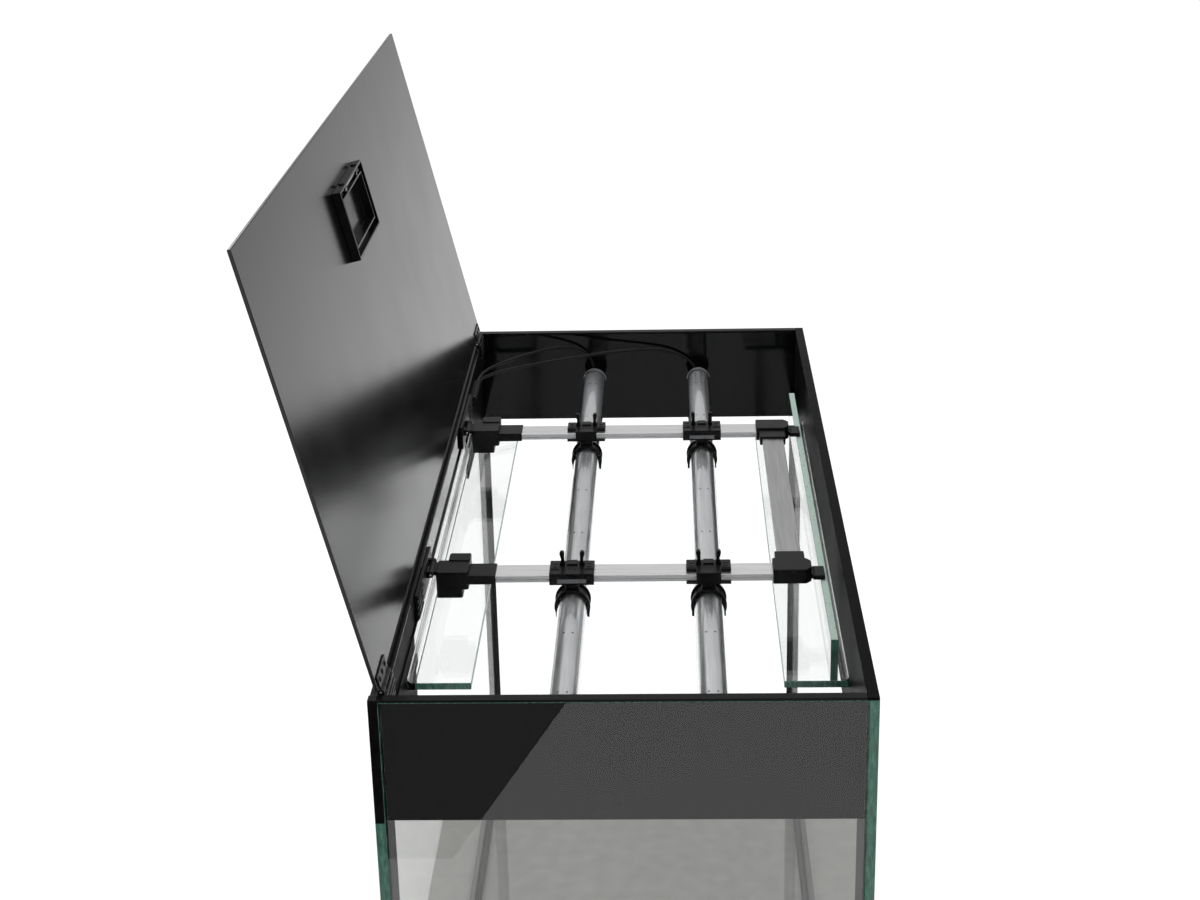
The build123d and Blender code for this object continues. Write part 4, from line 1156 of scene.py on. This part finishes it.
def add_clip_block(piece, bar, row, covered):
    """The block round the bar; a covered one closes over the bar's front edge."""
    if covered:
        add_block(piece, (bar - 20, row - 14, CLIP_LOW), (bar + 18, row + 14, CLIP_TOP), 0.7)
        notched = [
            (bar - 20, CLIP_LOW), (bar + 18, CLIP_LOW), (bar + 18, CLIP_TOP), (bar - 8, CLIP_TOP),
            (bar - 8, 716.8), (bar - 9.2, 716.8), (bar - 9.2, CLIP_TOP), (bar - 20, CLIP_TOP),
        ]
        for side in (-1, 1):
            start, end = sorted((row + side * 13, row + side * CLIP_HALF))
            add_outline(piece, notched, "y", start, end, round_by=0.4)
        # The grey tab on the cover's front is a painted highlight for light caught there.
        tab = [(bar - 19.6, 706), (bar - 21.6, 707), (bar - 19.6, 712.4)]
        add_outline(piece, tab, "y", row - 16.5, row + 16.5, finish=1)
        return
    plan = [
        (bar - 20, row - 14), (bar - 8, row - 14), (bar - 8, row - CLIP_HALF),
        (bar + 18, row - CLIP_HALF), (bar + 18, row + CLIP_HALF),
        (bar - 8, row + CLIP_HALF), (bar - 8, row + 14), (bar - 20, row + 14),
    ]
    add_outline(piece, plan, "z", CLIP_LOW, CLIP_TOP, round_by=0.7)
    sill_end = (bar - 6, row + CLIP_HALF, CLIP_LOW + 2)
    add_block(piece, (bar - 20, row - CLIP_HALF, CLIP_LOW), sill_end, 0.5)


def add_clip_relief(piece, bar, row):
    """The raised pads, their buttons and the fine ridges on a clip's top."""
    for side in (-1, 1):
        start, end = sorted((row + side * 14.8, row + side * 24.6))
        add_block(piece, (bar - 6, start, 717), (bar + 16.5, end, 718.7), 0.3)
        for along in (0, 8):
            button = (bar + along, row + side * 19.5, 0)
            add_rod(piece, CLIP_TOP, CLIP_TOP + 1.2, button, 2.6, "z", 0.3, 16)
    for step in range(-2, 3):
        ridge = row + step * 3.4
        add_block(piece, (bar - 6.5, ridge - 0.7, 717), (bar + 3.5, ridge + 0.7, 718.6), 0.2)


def add_clip_jaws(piece, bar, row):
    """The open ring that grips the tube, its tips and the neck above it."""
    start, end = bar - 18, bar + 6
    opening, sweep = -20.6, 221.2
    add_arc_band(piece, start, end, (row, LAMP_Z), 17.1, 18.6, opening, sweep, 36, 0.3)
    for edge in (start, end - 3):
        add_arc_band(piece, edge, edge + 3, (row, LAMP_Z), 18.3, 20.65, opening, sweep, 36, 0.3)
    for side in (-1, 1):
        tip = [(15.96, 670.6), (19.3, 670.6), (19.5, 663.4), (18.9, 663), (17.4, 663), (16.6, 663.8)]
        add_outline(piece, [(row + side * y, z) for y, z in tip], "x", start, end, round_by=0.4)
    add_block(piece, (start + 4, row - 8, 693.8), (end, row + 8, 705), 0.8)


def add_clip_prongs(piece, bar, row):
    """Two prongs with round heads and the flat latch between them."""
    for side in (-1, 1):
        y = row + side * 11.4
        hook = [(-3.4, 717.5), (-2.4, 722), (-2.3, 728)] + arc_points((0.2, 732), 2.8, 190, -10, 9)
        hook += [(2.2, 729), (1.4, 726), (1.6, 722), (3.2, 717.5)]
        add_outline(piece, [(y + side * a, z) for a, z in hook], "x", bar + 4, bar + 10, round_by=0.5)
    add_block(piece, (bar + 4, row - 6, 717.5), (bar + 16, row + 6, 720), 0.5)


for lamp, row in lamp_rows:
    for part, bar in bar_sides:
        clip = bmesh.new()
        add_clip_block(clip, bar, row, f"{lamp}_{part}" in ("rear_left", "front_right"))
        add_clip_relief(clip, bar, row)
        add_clip_jaws(clip, bar, row)
        add_clip_prongs(clip, bar, row)
        # The second finish, cap grey, paints the highlight on the covered clips' tabs.
        finishes = (moulded_black, cap_grey)
        finish_piece(clip, f"{lamp}_{part}_holder", "light_frame", finishes, (f"{lamp}_clip_{part}",))

# %% [markdown]
# Each lamp is a clear tube with a half-round metal carrier in its upper part,
# a board of light chips facing down and a cap at each end. Everything is made
# round the lamp's axis, since the whole lamp turns in its clips. The tube has
# a real wall, so that light bends in it as it does in the clear plastic.

# %% Lamps
TUBE = 550.0


def carrier_section(row, radius, low):
    """The upper part of a disc, cut flat at a height over the axis."""
    cut = math.degrees(math.asin(low / radius))
    return arc_points((row, LAMP_Z), radius, cut, 180 - cut, 25)


for lamp, row in lamp_rows:
    axis = (0, row, LAMP_Z)
    body = f"{lamp}_lamp"

    sleeve = bmesh.new()
    add_tube(sleeve, -TUBE, TUBE, axis, 15.2, 17.0, 0.3, 64)
    finish_piece(sleeve, f"{lamp}_sleeve", body, (sleeve_clear,), (f"{lamp}_lamp_tube",))

    carrier = bmesh.new()
    add_outline(carrier, carrier_section(row, 14.8, -2.4), "x", -544, 544, carrier_section(row, 12.4, 0))
    for place in range(-490, 500, 140):
        for side in (-1, 1):
            add_rod(carrier, 689.6, 690.9, (place, row + side * 4.5, 0), 1.2, "z", 0.3, 12, 1)
    finishes = (carrier_metal, rivet_dark)
    finish_piece(carrier, f"{lamp}_carrier_trough", body, finishes, (f"{lamp}_lamp_carrier",))

    board = bmesh.new()
    add_block(board, (-535, row - 8, 672.4), (535, row + 8, 673.6 - TOUCH), 0.2, 1)
    for count in range(24):
        x = (count - 11.5) * 44
        add_block(board, (x - 2.5, row - 2.5, 671.4), (x + 2.5, row + 2.5, 672.5), 0.4, 2, 1)
    finish_piece(board, f"{lamp}_chip_board", body, (board_white, chip_yellow), (f"{lamp}_lamp_strip",))

    round_end = [(TUBE + x, r) for x, r in arc_points((7, 14), 3, 0, 90, 5)]
    for part, side in (("left", -1), ("right", 1)):
        profile = [(TUBE - 4, 0), (TUBE - 4, 15), (TUBE, 15), (TUBE + TOUCH, 17)] + round_end[::-1]
        if side == 1:
            profile += [(TUBE + 10, 5), (TUBE + 17.4, 5), (TUBE + 18, 4.4), (TUBE + 18, 0)]
        else:
            profile += [(TUBE + 10, 0)]
        cap = bmesh.new()
        add_turned(cap, [(side * x, r) for x, r in profile], axis, "x", 56)
        finish_piece(cap, f"{lamp}_{part}_end_cap", body, (cap_grey,), (f"{lamp}_lamp_cap_{part}",))

# %% [markdown]
# The measured parts are hidden behind the pieces that stand for them, yet each
# still needs a finish of its own kind, so the finishes are handed out by the
# material slot written in the record.

# %% Finishes of the measured parts
finish_of_slot = {
    "pane_glass": pane_clear, "brace_glass": brace_clear, "foam_mat": foam_pale,
    "black_silicone": silicone_black, "clear_silicone": silicone_clear, "black_trim": gloss_black,
    "lid_sheet": lid_satin, "black_fitting": moulded_black, "steel_pin": pin_steel,
    "black_screw": screw_black, "satin_aluminium": bar_metal, "lamp_sleeve": sleeve_clear,
    "lamp_carrier": carrier_metal, "lamp_board": board_white, "lamp_cap": cap_grey,
    "cable_rubber": cable_black,
}
for name, node in nodes.items():
    node.data.materials.clear()
    node.data.materials.append(finish_of_slot[slot_of[name]])
print("measured parts with a finish:", len(nodes))

# %% Last update of the scene
bpy.context.view_layer.update()
